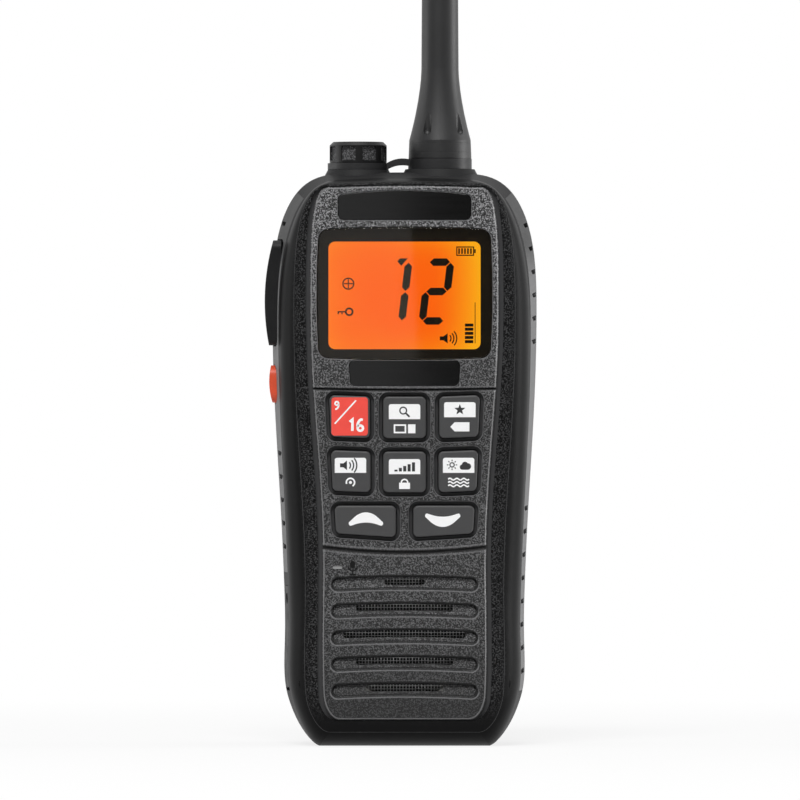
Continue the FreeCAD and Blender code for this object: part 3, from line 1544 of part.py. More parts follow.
def belt_clip():
    """Sprung lever: pivot lugs, flat blade and a toe that turns in towards the pack."""
    inner, outer = clip_inner, clip_inner + clip_thickness
    toe_y = back_plane + clip_toe_gap
    profile = [(inner, clip_top), (outer - 0.6, clip_top), (outer, clip_top - 1.0), (outer, clip_foot + 6),
               (toe_y + clip_thickness, clip_foot + 0.6), (toe_y + 0.9, clip_foot), (toe_y, clip_foot + 1.0),
               (inner, clip_foot + 8)]
    blade = side_prism(profile, -clip_half_width, clip_half_width)
    taper = 1.2
    w = clip_half_width
    outline = prism([(-w + taper, clip_foot - 1), (w - taper, clip_foot - 1), (w, clip_pin_height - 12),
                     (w, clip_top + 1), (-w, clip_top + 1), (-w, clip_pin_height - 12)], 0, FAR)
    blade = blade.common(outline)
    lug_outer = clip_base_half_width - clip_ear - 0.15
    parts = [blade]
    for side in (-1, 1):
        x0, x1 = sorted((side * (lug_outer - clip_lug), side * lug_outer))
        parts.append(block(x0, x1, clip_pin_y, inner + 0.3, clip_pin_height - 2.1, clip_pin_height + 2.1))
        parts.append(rod_x(clip_pin_y, clip_pin_height, 1.9, x0, x1))
    body = joined(parts)
    cuts = [rod_x(clip_pin_y, clip_pin_height, clip_pin_radius + 0.06, -FAR, FAR)]
    for side in (-1, 1):
        x0, x1 = sorted((side * (clip_base_half_width - clip_ear - 0.15), side * FAR))
        cuts.append(rod_x(clip_pin_y, clip_pin_height, 2.3 + 0.25, x0, x1))
    for i in range(4):
        z = clip_top - 3.0 - 1.8 * i
        cuts.append(block(-clip_half_width + 2.2, clip_half_width - 2.2, outer - 0.4, outer + 1, z - 0.4, z + 0.4))
    window = rounded_block(-4.2, 4.2, inner - 1, outer + 1, clip_foot + 18, clip_pin_height - 22, 3.0)
    cuts.append(window)
    return body.cut(cuts)


def clip_spring():
    """Torsion spring round the pin, with one leg on the base and one under the thumb end."""
    half = (clip_base_half_width - clip_ear - 0.15) - clip_lug - 0.4
    wire, radius = clip_spring_wire, clip_spring_radius
    length = wire * 2.6 * clip_spring_turns
    helix = Part.makeHelix(length / clip_spring_turns, length, radius)
    section = Part.Wire([Part.Circle(Vector(radius, 0, 0), Vector(0, 1, 0), wire).toShape()])
    body = Part.Wire(helix.Edges).makePipeShell([section], True, True)
    body.rotate(Vector(0, 0, 0), Vector(0, 1, 0), 90)
    body.translate(Vector(-length / 2, clip_pin_y, clip_pin_height))
    leg_z = clip_pin_height - 0.2
    leg_length = 6.0
    base_leg = Part.makeCylinder(wire, leg_length, Vector(-length / 2, clip_pin_y - radius, leg_z), Vector(0, 0, 1))
    lever_leg = Part.makeCylinder(wire, leg_length, Vector(length / 2, clip_pin_y + radius, leg_z), Vector(0, 0, 1))
    return Part.makeCompound([body, base_leg, lever_leg])


def strap_eyelet():
    """Steel plate with a hole for a wrist strap, let into the back of the casing."""
    half = eyelet_thickness / 2
    centre_y = back_plane + eyelet_stand
    plate = block(eyelet_x - half, eyelet_x + half, back_plane - eyelet_foot_depth() + 0.1, centre_y,
                  eyelet_height - 3, eyelet_height + 3)
    nose = rod_x(centre_y, eyelet_height, 3.0, eyelet_x - half, eyelet_x + half)
    return joined([plate, nose]).cut(rod_x(centre_y, eyelet_height, eyelet_bore, -FAR, FAR))


def build():
    casing = casing_rear()
    skin = side_skin(casing)
    nodes = {
        "front_shell": front_shell(),
        "front_fascia": fascia(),
        "display_window": display_window(),
        "name_plate": name_plate(),
        "lower_plate": lower_plate(),
        "rear_shell": rear_shell(casing, skin),
        "main_gasket": main_gasket(),
        "shell_screws": shell_screws(),
        "side_grip_right": side_grip(1, grip_foot, skin),
        "side_grip_left": side_grip(-1, left_grip_foot(), skin),
        "talk_key": talk_key(),
        "power_key": power_key(),
        "talk_key_plunger": plunger("talk_key_plunger"),
        "power_key_plunger": plunger("power_key_plunger"),
        "side_board": side_board(),
        "port_flap": port_flap(skin),
        "charging_socket": charging_socket(),
        "lcd_panel": lcd_panel(),
        "backlight": backlight(),
        "keypad_mat": keypad_mat(),
        "main_board": main_board(),
        "shield_cans": shield_cans(),
        "chassis_frame": chassis_frame(),
        "board_screws": board_screws(),
        "speaker_mesh": speaker_mesh(),
        "speaker_basket": speaker_basket(),
        "speaker_cone": speaker_cone(),
        "speaker_magnet": speaker_magnet(),
        "microphone": microphone(),
        "contact_block": contact_block(),
        "contact_pins": contact_pins(),
        "audio_jack": audio_jack(),
        "jack_cap": jack_cap(),
        "cap_seal": cap_seal(),
        "cap_tether": cap_tether(),
        "aerial_sleeve": aerial_sleeve(),
        "aerial_stud": aerial_stud(),
        "aerial_gasket": aerial_gasket(),
        "aerial_socket": aerial_socket(),
        "pack_case": pack_case(casing),
        "pack_lid": pack_lid(),
        "pack_contacts": pack_contacts(),
        "battery_cells": battery_cells(),
        "battery_board": battery_board(),
        "battery_latch": battery_latch(),
        "latch_spring": latch_spring(),
        "clip_base": clip_base(),
        "clip_pin": clip_pin(),
        "clip_screws": clip_screws(),
        "belt_clip": belt_clip(),
        "clip_spring": clip_spring(),
        "strap_eyelet": strap_eyelet(),
    }
    for name, corners in key_layout().items():
        nodes[name] = key_cap(corners)
    return nodes


os.makedirs("parts", exist_ok=True)
for node, shape in build().items():
    shape.exportStep("parts/" + node + ".step")
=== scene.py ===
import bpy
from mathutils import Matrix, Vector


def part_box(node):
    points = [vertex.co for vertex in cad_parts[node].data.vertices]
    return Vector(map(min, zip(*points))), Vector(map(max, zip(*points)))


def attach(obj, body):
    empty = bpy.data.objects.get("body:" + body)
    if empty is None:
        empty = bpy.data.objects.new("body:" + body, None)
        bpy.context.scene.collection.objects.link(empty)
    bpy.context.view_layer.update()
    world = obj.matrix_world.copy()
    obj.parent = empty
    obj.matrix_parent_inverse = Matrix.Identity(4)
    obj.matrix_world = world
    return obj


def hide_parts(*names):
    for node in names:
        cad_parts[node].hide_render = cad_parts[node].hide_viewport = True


bl_info = {
    "name": "Handheld marine radio",
    "version": (1, 0, 0),
    "blender": (4, 5, 0),
    "location": "View3D > Sidebar > Radio",
    "description": "Finishes, display, key legends and speaker mesh of a handheld marine radio",
    "category": "Object",
}

import math
from functools import cached_property

import bmesh
import bpy
from bpy.props import FloatProperty, FloatVectorProperty, IntProperty, PointerProperty
from bpy.types import Operator, Panel, PropertyGroup

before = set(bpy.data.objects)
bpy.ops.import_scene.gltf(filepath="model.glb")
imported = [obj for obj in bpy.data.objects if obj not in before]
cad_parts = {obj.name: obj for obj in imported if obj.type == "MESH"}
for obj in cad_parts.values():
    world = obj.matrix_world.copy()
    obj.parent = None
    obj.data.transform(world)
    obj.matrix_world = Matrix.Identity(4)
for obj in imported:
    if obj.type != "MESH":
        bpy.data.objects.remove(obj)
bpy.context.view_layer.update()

MM = 0.001

# Places on the radio, in millimetres: depths go from front to back, heights start at its foot
FASCIA_FACE = -19.0  # depth of the fascia's face
GROOVE_FLOOR = -17.6  # depth of the groove between the fascia and the front shell
KEY_FLANGE = 0.85  # from a key's box in to the edge of its face
KEY_SHOULDER = (-19.78, -19.35)  # depths between which a key's face turns into its side
# The wings' grained skin, painted lighter with highlights, fades out between these depths.
WING_GRAIN = (-18.4, -17.0)  # depths between which the grain of the wings fades out
UP_ARROW, DOWN_ARROW = (-8.85, 51.2), (8.75, 52.95)  # middle between the tips of each arrow
CAP_MIDDLE = (-10.7, 1.0)  # the jack cap's axis, across and in depth
CAP_RIB = (6.15, 6.45)  # distances from that axis between which a recess turns into a rib
CAP_CROWN = 138.2  # height above which the cap has no recesses
AERIAL_MIDDLE = 8.2  # the aerial's axis, across
SLEEVE_FOOT = 135.35  # height of the aerial sleeve's lower edge
SLEEVE_RINGS = (136.7, 138.8)  # heights of the two faint rings round the sleeve
SLOT_FOOT, SLOT_PITCH = 12.81, 6.12  # height of the lowest sound slot, and the step to the next
SLOT_REACH, SLOT_RADIUS, SLOT_ARCH = 15.15, 1.45, 0.45  # a slot's half length, end radius and rise
SLOTS_FROM, SLOTS_TO = 9.9, 40.2  # heights between which the slots lie
LOW_SEAM, HIGH_SEAM, SEAM_REACH = 44.55, 81.83, 19.3  # heights of the fascia's grooves, half their length
WINDOW_TOP = 119.0  # height of the window's upper edge
LIT_MIDDLE, LIT_WIDE, LIT_HIGH = 103.5, 17.4, 12.3  # the lit field's middle, half width, half height
DIGITS_MIDDLE = 104.4  # middle height of the large digits
WORLD_LIGHT = 0.22  # strength of the world as a light

KEY_NODES = ("key_channel_16", "key_scan", "key_favourite", "key_volume",
             "key_power_level", "key_weather", "key_up", "key_down")


def box_mm(node):
    """Lowest and highest corner of a CAD node, in millimetres."""
    low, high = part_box(node)
    return low / MM, high / MM


# Sizes and colours a user would change

def length(name, description, size, low, high):
    """A length, given here in millimetres and kept in metres."""
    return FloatProperty(name=name, description=description, default=size * MM,
                         min=low * MM, max=high * MM, precision=5, unit="LENGTH")


class RadioSizes(PropertyGroup):
    """Sizes of what is printed, woven or shown."""

    ink_thickness: length("Ink thickness", "How far the printing stands proud", 0.03, 0.005, 0.2)
    digit_width: length("Digit width", "Between a digit's upright strokes", 4.92, 1, 10)
    digit_height: length("Digit height", "Between a digit's top and foot strokes", 13.5, 4, 20)
    digit_stroke: length("Digit stroke", "Width of a digit's stroke", 1.72, 0.3, 4)
    digit_slant: FloatProperty(name="Digit slant", description="Sideways lean per height",
                               default=0.118, min=0, max=0.5, subtype="FACTOR")
    mesh_pitch: length("Mesh pitch", "Between neighbouring wires of the speaker mesh", 0.72, 0.3, 3)
    mesh_wire: length("Mesh wire", "Radius of the speaker mesh's wire", 0.09, 0.02, 0.5)
    mesh_steps: IntProperty(name="Mesh steps", description="Steps along one wire",
                            default=96, min=16, max=400)


def colour(name, description, default):
    """A linear colour."""
    return FloatVectorProperty(name=name, description=description, subtype="COLOR", size=3,
                               min=0, max=1, default=default)


class RadioColours(PropertyGroup):
    """Colours of the finishes, as linear red, green and blue."""

    shell: colour("Front shell", "Dark moulded plastic of the wings", (0.006, 0.006, 0.0062))
    fascia: colour("Fascia", "Grained panel round the keys", (0.040, 0.040, 0.041))
    rear: colour("Rear shell", "Moulded plastic of the back", (0.022, 0.022, 0.0225))
    grip: colour("Grip", "Rubber of the sides", (0.19, 0.19, 0.192))
    key: colour("Key", "Silicone of the keys", (0.046, 0.046, 0.047))
    red: colour("Red key", "Printed face of the first key", (0.88, 0.070, 0.050))
    power: colour("Power key", "Red-orange side key", (0.72, 0.075, 0.022))
    ink: colour("White ink", "Printing on the keys", (0.97, 0.97, 0.97))
    amber: colour("Amber", "Lit display, middle", (1.0, 0.142, 0.001))
    amber_edge: colour("Amber edge", "Lit display, near its lamps", (1.0, 0.50, 0.012))
    stage_white: colour("Stage", "Floor and backdrop", (0.93, 0.93, 0.93))


# Materials written as expressions

class Socket:
    """A shader socket that takes part in Python arithmetic as Math nodes."""

    def __init__(self, paint, output):
        self.paint = paint
        self.output = output

    def math(self, operation, *others):
        inputs = {i: value for i, value in enumerate((self,) + others)}
        return self.paint.node("ShaderNodeMath", {"operation": operation}, inputs)

    def __add__(self, other):
        return self.math("ADD", other)

    def __sub__(self, other):
        return self.math("SUBTRACT", other)

    def __rsub__(self, other):
        return self.paint.node("ShaderNodeMath", {"operation": "SUBTRACT"}, {0: other, 1: self})

    def __mul__(self, other):
        return self.math("MULTIPLY", other)

    def __truediv__(self, other):
        return self.math("DIVIDE", other)

    def __pow__(self, other):
        return self.math("POWER", other)

    __radd__ = __add__
    __rmul__ = __mul__

    def size(self):
        return self.math("ABSOLUTE")

    def ramp(self, low, high):
        """0 below low, 1 above high, smooth between."""
        return self.paint.node("ShaderNodeMapRange", {"interpolation_type": "SMOOTHSTEP"},
                               {"Value": self, "From Min": low, "From Max": high})

    def step(self, place, half):
        """0 below a place, 1 above it, smooth over half on either side."""
        return self.ramp(place - half, place + half)

    def near(self, full, none):
        """1 up to full away from zero, 0 from none away, smooth between."""
        return 1 - self.size().ramp(full, none)

    def band(self, middle, half):
        """1 within half of middle, else 0."""
        return self.math("COMPARE", middle, half)

    def capped(self):
        """At most 1."""
        return self.math("MINIMUM", 1.0)


class Paint:
    """One material, or a world, built node by node."""

    def __init__(self, name, world=None):
        self.owner = world or bpy.data.materials.new(name)
        self.owner.use_nodes = True
        self.tree = self.owner.node_tree
        self.tree.nodes.clear()

    @cached_property
    def place(self):
        """The Object coordinates."""
        return self.node("ShaderNodeTexCoord", output="Object")

    def node(self, kind, settings=None, inputs=None, output=0):
        made = self.tree.nodes.new(kind)
        for name, value in (settings or {}).items():
            setattr(made, name, value)
        for name, value in (inputs or {}).items():
            self.feed(made.inputs[name], value)
        return Socket(self, made.outputs[output]) if len(made.outputs) else None

    def feed(self, target, value):
        if isinstance(value, Socket):
            self.tree.links.new(value.output, target)
        elif target.type == "RGBA" and len(value) == 3:
            target.default_value = (*value, 1)
        else:
            target.default_value = value

    def along(self, axis):
        """The Object coordinate along X, Y or Z, in millimetres."""
        return self.node("ShaderNodeSeparateXYZ", {}, {0: self.place}, axis) * (1 / MM)

    def stretched(self, x, y, z):
        return self.node("ShaderNodeMapping", {}, {"Vector": self.place, "Scale": (x, y, z)})

    def noise(self, size_mm, detail=2.0, roughness=0.5, vector=None):
        """Cloudy noise whose blotches are about this size."""
        inputs = {"Scale": 1 / (size_mm * MM), "Detail": detail, "Roughness": roughness}
        return self.node("ShaderNodeTexNoise", {}, {"Vector": vector or self.place, **inputs})

    def cells(self, size_mm):
        """Distance from the middle of the nearest grain, for grains about this far apart."""
        return self.node("ShaderNodeTexVoronoi", {}, {"Vector": self.place, "Scale": 1 / (size_mm * MM)})

    def blend(self, factor, first, second):
        """The first colour at 0, the second at 1."""
        return self.node("ShaderNodeMix", {"data_type": "RGBA"}, {0: factor, 6: first, 7: second}, 2)

    def bump(self, height, depth_mm):
        return self.node("ShaderNodeBump", {}, {"Height": height, "Distance": depth_mm * MM})

    def seen(self):
        """1 for what the camera, gloss and glass see, 0 for what only lights a surface."""
        camera, gloss, glass = (self.node("ShaderNodeLightPath", output=f"Is {ray} Ray")
                                for ray in ("Camera", "Glossy", "Transmission"))
        return (camera + gloss + glass).capped()

    def white_light(self, strength):
        return self.node("ShaderNodeEmission", {}, {"Color": (1, 1, 1), "Strength": strength})

    def done(self, surface, output="ShaderNodeOutputMaterial"):
        self.node(output, {}, {"Surface": surface})
        return self.owner

    def finish(self, **inputs):
        """The material with a Principled surface, its sockets named with underscores for spaces."""
        named = {name.replace("_", " "): value for name, value in inputs.items()}
        return self.done(self.node("ShaderNodeBsdfPrincipled", {}, named))


def shade(rgb, factor):
    """The colour, darker or lighter by a factor."""
    return tuple(min(1.0, c * factor) for c in rgb)


def moulded(name, rgb, roughness=0.5, grain_mm=0.12, depth_mm=0.006, uneven=0.15, shine=0.4):
    """Spark-eroded plastic: fine grain, faint flow clouds and a rubbed sheen."""
    p = Paint(name)
    grain = p.noise(grain_mm, 3, 0.6)
    cloud = p.noise(9, 2)
    tint = p.blend(cloud * 0.6 + grain * 0.4, shade(rgb, 1 - uneven), shade(rgb, 1 + uneven))
    rough = roughness - 0.06 + 0.08 * cloud + 0.06 * grain
    return p.finish(Base_Color=tint, Roughness=rough, Specular_IOR_Level=shine,
                    Normal=p.bump(grain, depth_mm))


def grain_relief(p, pebble_mm):
    """Spark-eroded grain: its height, and how far each place is on the top of a grain, which the finishes
    paint light as a highlight.
    """
    height = p.noise(pebble_mm, 1, 0.6)
    return height, height.ramp(0.44, 0.66)


def grained(name, rgb, roughness, pebble_mm, depth_mm):
    """Grained moulding: valleys painted dark as shade, and crowns painted light as highlights."""
    p = Paint(name)
    height, crown_highlight = grain_relief(p, pebble_mm)
    broad = p.noise(16, 2)
    # Painted shade in the valleys, painted highlights on the crowns.
    tint = p.blend(crown_highlight, shade(rgb, 0.3), shade(rgb, 3.6))
    tint = p.blend(broad * 0.4, tint, shade(rgb, 0.8))
    rough = roughness + 0.25 - crown_highlight * 0.25
    return p.finish(Base_Color=tint, Roughness=rough, Normal=p.bump(height, depth_mm))


def slot_marks(x, z):
    """How near each place is to a sound slot's outline, which is painted dark as shade, to the ledge below it,
    painted light as a highlight, and to its inside.
    """
    share = x / SLOT_REACH
    row = (z - SLOT_FOOT) / SLOT_PITCH + 0.5
    level = (row.math("FRACT") - 0.5) * SLOT_PITCH - SLOT_ARCH * (1 - share * share)
    past_end = (x.size() - SLOT_REACH).math("MAXIMUM", 0.0)
    away = (past_end * past_end + level * level) ** 0.5 - SLOT_RADIUS
    field = z.step(SLOTS_FROM, 0.2) * (1 - z.step(SLOTS_TO, 0.2))
    line = away.near(0.14, 0.34) * field
    lip_highlight = (away - 0.46).near(0.04, 0.24) * field * (1 - level.ramp(-0.9, 0.6) * 0.9)
    inside = (1 - away.step(-0.05, 0.1)) * field
    return line, lip_highlight, inside


def seam_marks(x, z):
    """The two grooves across the fascia, painted dark as shade, and the lips on both sides of them, painted
    light as highlights.
    """
    share = x / SEAM_REACH
    bow = share * share
    low, high = (z - LOW_SEAM - 1.3 * bow).size(), (z - HIGH_SEAM - 0.25 * bow).size()
    groove_shade = low.near(0.35, 0.6) + high.near(0.15, 0.4)
    lip_highlight = (low - 0.8).near(0.08, 0.3) + (high - 0.55).near(0.06, 0.2)
    return groove_shade, lip_highlight


def fascia_plastic(name, rgb):
    """Grained face of the keypad panel: painted highlights on its grain's crowns, brighter towards the top,
    and on its rims and lips; painted shade in dark lines at its slots, seams and openings, far inside the
    openings and towards the foot.
    """
    p = Paint(name)
    height, crown_highlight = grain_relief(p, 0.3)
    x, depth, z = p.along("X"), p.along("Y") - FASCIA_FACE, p.along("Z")
    # The slots' outlines and the seams are painted dark as shade, the ledges beside them light as highlights.
    line, lip_highlight, inside = slot_marks(x, z)
    groove_shade, edge = seam_marks(x, z)
    # Painted highlight on the narrow edge band round the fascia and its openings; painted shade far inside the
    # openings and inside the window's upper edge.
    rim_highlight = depth.band(0.16, 0.13) * (1 - inside) * (1 - groove_shade.capped())
    deep_shade = depth.ramp(0.9, 1.1)
    sill_shade = z.band(WINDOW_TOP, 0.9) * x.near(17, 18) * depth.ramp(0.02, 0.05)
    # The crowns painted light as highlights, brighter towards the top as painted light from above; the valleys
    # painted dark as shade.
    crown_highlight_tint = p.blend(z.ramp(70, 126), shade(rgb, 3.4), shade(rgb, 9.0))
    tint = p.blend(crown_highlight, shade(rgb, 0.12), crown_highlight_tint)
    tint = p.blend(p.noise(16, 2) * 0.2, tint, shade(rgb, 0.9))
    # Painted shade: darker towards the foot.
    tint = p.blend((1 - z.ramp(4, 34)) * 0.7, tint, shade(rgb, 0.1))
    # Painted highlights on the edge band and ledges, then painted shade in the outlines, seams, openings and
    # window edge.
    tint = p.blend((rim_highlight * 0.7 + lip_highlight * 0.8 + edge * 0.5).capped(), tint, shade(rgb, 4.6))
    tint = p.blend((line + groove_shade + deep_shade + sill_shade).capped() * 0.95, tint, shade(rgb, 0.04))
    relief = height * (1 - rim_highlight) * (1 - deep_shade) + lip_highlight * 0.5 - line * 0.7
    return p.finish(Base_Color=tint, Roughness=0.6 - crown_highlight * 0.22 - rim_highlight * 0.2,
                    Specular_IOR_Level=0.4, Normal=p.bump(relief, 0.16))


def wing_plastic(name, rgb, fascia_rgb):
    """Front shell: grained beside the fascia, where it is painted lighter with painted highlights on the
    crowns; smooth and darker behind and towards the foot, partly painted shade; painted lighter on the floor
    of the gap round the fascia as a highlight.
    """
    p = Paint(name)
    depth = p.along("Y")
    # Beside the fascia the skin is painted lighter, partly as painted light on faces turned to the front;
    # towards the back and the foot it is left darker, partly as painted shade.
    grain_and_highlight_share = (1 - depth.ramp(*WING_GRAIN)) * p.along("Z").ramp(4, 14)
    height, crown_highlight = grain_relief(p, 0.3)
    # Crowns painted light as highlights, valleys dark as shade.
    grained_highlight_skin = p.blend(crown_highlight, shade(fascia_rgb, 0.1), shade(fascia_rgb, 1.35))
    smooth_skin = p.blend(p.noise(7, 2), shade(rgb, 0.85), shade(rgb, 1.15))
    tint = p.blend(grain_and_highlight_share, smooth_skin, grained_highlight_skin)
    # The floor of the gap round the fascia painted lighter: a painted highlight.
    tint = p.blend(depth.band(GROOVE_FLOOR, 0.03), tint, shade(fascia_rgb, 1.6))
    relief = height * grain_and_highlight_share + p.noise(0.11, 2) * 0.06
    return p.finish(Base_Color=tint, Roughness=0.4 + grain_and_highlight_share * 0.1, Specular_IOR_Level=0.06,
                    Normal=p.bump(relief, 0.06))


def rubber(name, rgb, roughness=0.62, grain_mm=0.16, shine=0.4, dark_above=None):
    """Soft rubber: matte skin with dust in its pores, darker above a height where one is given."""
    p = Paint(name)
    pore = p.noise(grain_mm, 4, 0.6)
    dust = p.noise(3.5, 3, 0.6).ramp(0.35, 0.75)
    tint = p.blend(dust * 0.5 + pore * 0.5, shade(rgb, 0.85), shade(rgb, 1.18))
    if dark_above:
        tint = p.blend(p.along("Z").ramp(dark_above, dark_above + 10) * 0.75, tint, shade(rgb, 0.05))
    rough = roughness + dust * 0.12 - pore * 0.08
    return p.finish(Base_Color=tint, Roughness=rough, Specular_IOR_Level=shine,
                    Normal=p.bump(pore, 0.012))


def gloss(name, rgb, roughness=0.06):
    """Polished plastic with hair-fine wipe marks."""
    p = Paint(name)
    wipes = p.noise(0.5, 2, 0.5, p.stretched(0.06, 1, 1))
    tint = p.blend(p.noise(6, 2), shade(rgb, 0.9), shade(rgb, 1.1))
    return p.finish(Base_Color=tint, Roughness=roughness + wipes * 0.05,
                    Normal=p.bump(wipes, 0.0006))


def silicone(name, rgb, roughness=0.46):
    """Moulded silicone key: satin skin, edges painted a little lighter as a highlight."""
    p = Paint(name)
    skin = p.noise(0.1, 3, 0.6)
    cloud = p.noise(2.4, 2)
    worn = p.blend(cloud, shade(rgb, 0.92), shade(rgb, 1.08))
    # The key's shoulder painted lighter: a painted highlight.
    tint = p.blend(p.along("Y").ramp(*KEY_SHOULDER), worn, shade(rgb, 1.2))
    return p.finish(Base_Color=tint, Roughness=roughness + skin * 0.1,
                    Normal=p.bump(skin, 0.004))


def printed(name, rgb, roughness=0.42, shine=0.5):
    """Screen-printed ink with the faint unevenness of its film."""
    p = Paint(name)
    film = p.noise(0.18, 3)
    tint = p.blend(film, shade(rgb, 0.93), shade(rgb, 1.03))
    return p.finish(Base_Color=tint, Roughness=roughness + film * 0.12, Specular_IOR_Level=shine,
                    Normal=p.bump(film, 0.002))


def metal(name, rgb, roughness=0.3, stretch=(1, 1, 0.06)):
    """Drawn or turned metal with marks along its working direction."""
    p = Paint(name)
    marks = p.noise(0.2, 3, 0.6, p.stretched(*stretch))
    stain = p.noise(4, 3).ramp(0.5, 0.8)
    tint = p.blend(stain * 0.5 + marks * 0.3, rgb, shade(rgb, 0.72))
    return p.finish(Base_Color=tint, Metallic=1.0, Roughness=roughness + marks * 0.14,
                    Normal=p.bump(marks, 0.004))


def clear_lens(name):
    """Tinted acrylic with a few smears."""
    p = Paint(name)
    smear = p.noise(5, 3, 0.6, p.stretched(1, 1, 0.4)).ramp(0.45, 0.8)
    return p.finish(Base_Color=(1.0, 0.83, 0.46), Roughness=0.012 + smear * 0.02,
                    Transmission_Weight=1.0, IOR=1.45)


def lit_crystal(name, amber, edge):
    """Lit display: amber, yellower at its right edge and corners where its lamps stand."""
    p = Paint(name)
    x, z = p.along("X"), p.along("Z") - LIT_MIDDLE
    corner = (x.size() / LIT_WIDE) ** 4 * 0.5 + (z.size() / LIT_HIGH) ** 4 * 0.35
    lamp = x.ramp(6, 19) * 0.5 + corner * (0.35 + x.ramp(-10, 16) * 0.65)
    cloud = p.noise(14, 1) * 0.12 - 0.06
    glow = p.blend((lamp + cloud).capped(), amber, edge)
    return p.finish(Base_Color=(0.02, 0.008, 0.0), Roughness=0.5, Specular_IOR_Level=0.0,
                    Emission_Color=glow, Emission_Strength=1.0)


def board_green(name):
    """Solder mask over copper tracks, with bare pads."""
    p = Paint(name)
    tracks = p.node("ShaderNodeTexBrick", {"offset": 0.37}, {
        "Vector": p.place, "Scale": 260.0, "Mortar Size": 0.035, "Bias": -0.2,
        "Color1": (0.012, 0.085, 0.03), "Color2": (0.016, 0.11, 0.04), "Mortar": (0.05, 0.2, 0.07)})
    pads = 1 - p.cells(2.2).ramp(0.10, 0.14)
    tint = p.blend(pads, tracks, (0.75, 0.72, 0.62))
    return p.finish(Base_Color=tint, Metallic=pads * 0.8, Roughness=0.32 + pads * 0.1,
                    Normal=p.bump(pads, 0.02))


def wrapped_cell(name):
    """Shrink sleeve with its lengthwise sheen and faint wrinkles."""
    p = Paint(name)
    wrinkle = p.noise(2.2, 3, 0.5, p.stretched(1, 1, 0.25))
    tint = p.blend(wrinkle, (0.05, 0.13, 0.28), (0.08, 0.19, 0.4))
    return p.finish(Base_Color=tint, Roughness=0.25 + wrinkle * 0.1,
                    Normal=p.bump(wrinkle, 0.08))


def paper(name):
    """Pressed paper with its fibres."""
    p = Paint(name)
    fibre = p.noise(0.3, 4, 0.7)
    tint = p.blend(fibre, (0.02, 0.02, 0.02), (0.06, 0.058, 0.055))
    return p.finish(Base_Color=tint, Roughness=0.85, Normal=p.bump(fibre, 0.03))


def aerial_sleeve_rubber(name, rgb):
    """Moulded sleeve: black joint and two faint rings at its foot, parting line and fine skin."""
    p = Paint(name)
    z = p.along("Z")
    rings = sum(z.band(height, 0.09) for height in SLEEVE_RINGS)
    skin = p.noise(0.14, 3, 0.6)
    cloud = p.noise(6, 2)
    parting = p.along("X").band(AERIAL_MIDDLE, 0.05)
    tint = p.blend(cloud, shade(rgb, 0.85), shade(rgb, 1.2))
    tint = p.blend(z.ramp(SLEEVE_FOOT, SLEEVE_FOOT + 0.15), (0.001, 0.001, 0.001), tint)
    relief = skin * 0.15 - rings.capped() + parting * 0.25
    return p.finish(Base_Color=tint, Roughness=0.42 + cloud * 0.08 + skin * 0.06,
                    Normal=p.bump(relief, 0.05))


def cap_plastic(name, rgb):
    """Jack cap: grained finger recesses painted lighter, with painted highlights on their grain, between
    smooth ribs painted dark as shade.
    """
    p = Paint(name)
    x, y = p.along("X") - CAP_MIDDLE[0], p.along("Y") - CAP_MIDDLE[1]
    recess = ((x * x + y * y) ** 0.5).near(*CAP_RIB) * (1 - p.along("Z").step(CAP_CROWN, 0.1))
    height, crown_highlight = grain_relief(p, 0.28)
    # Recesses painted light with painted highlights on their grain; ribs painted dark as shade.
    grain = p.blend(crown_highlight, shade(rgb, 1.6), shade(rgb, 12))
    tint = p.blend(recess, p.blend(p.noise(3), shade(rgb, 0.25), shade(rgb, 0.5)), grain)
    relief = height * (recess * 0.9 + 0.1)
    return p.finish(Base_Color=tint, Roughness=0.42 + recess * 0.14, Specular_IOR_Level=0.3,
                    Normal=p.bump(relief, 0.05))


def stage_material(name, rgb):
    """Pale floor that the camera, glass and metal see as white, and that keeps the shadow."""
    p = Paint(name)
    x, y = p.along("X"), p.along("Y")
    away = ((x * x + y * y) ** 0.5).ramp(60, 420)
    tint = p.blend(p.noise(120, 2), shade(rgb, 0.985), shade(rgb, 1.0))
    diffuse = p.node("ShaderNodeBsdfDiffuse", {}, {"Color": tint})
    factor = p.seen() * (0.8 + 0.2 * away)
    return p.done(p.node("ShaderNodeMixShader", {}, {0: factor, 1: diffuse, 2: p.white_light(1.0)}))


# Flat shapes for printing, in millimetres: X to the right, Z up

def rectangle(x0, z0, x1, z1):
    """The four corners, from the lower left."""
    return [(x0, z0), (x1, z0), (x1, z1), (x0, z1)]


def arc_points(x, z, radius, start, end, steps=12):
    """Points along an arc, between two angles in degrees."""
    turns = [math.radians(start + (end - start) * i / steps) for i in range(steps + 1)]
    return [(x + radius * math.cos(a), z + radius * math.sin(a)) for a in turns]


def disc(x, z, radius, steps):
    """Points round a circle."""
    return arc_points(x, z, radius, 0, 360 - 360 / steps, steps - 1)


def rounded(x0, z0, x1, z1, radius, corners="1111"):
    """A rectangle whose corners, from lower left round to upper left, are round where marked 1."""
    centres = [(x0, z0, 1, 1, 180), (x1, z0, -1, 1, 270), (x1, z1, -1, -1, 0), (x0, z1, 1, -1, 90)]
    points = []
    for (x, z, sx, sz, start), mark in zip(centres, corners):
        if mark == "1":
            points += arc_points(x + sx * radius, z + sz * radius, radius, start, start + 90, 5)
        else:
            points.append((x, z))
    return points


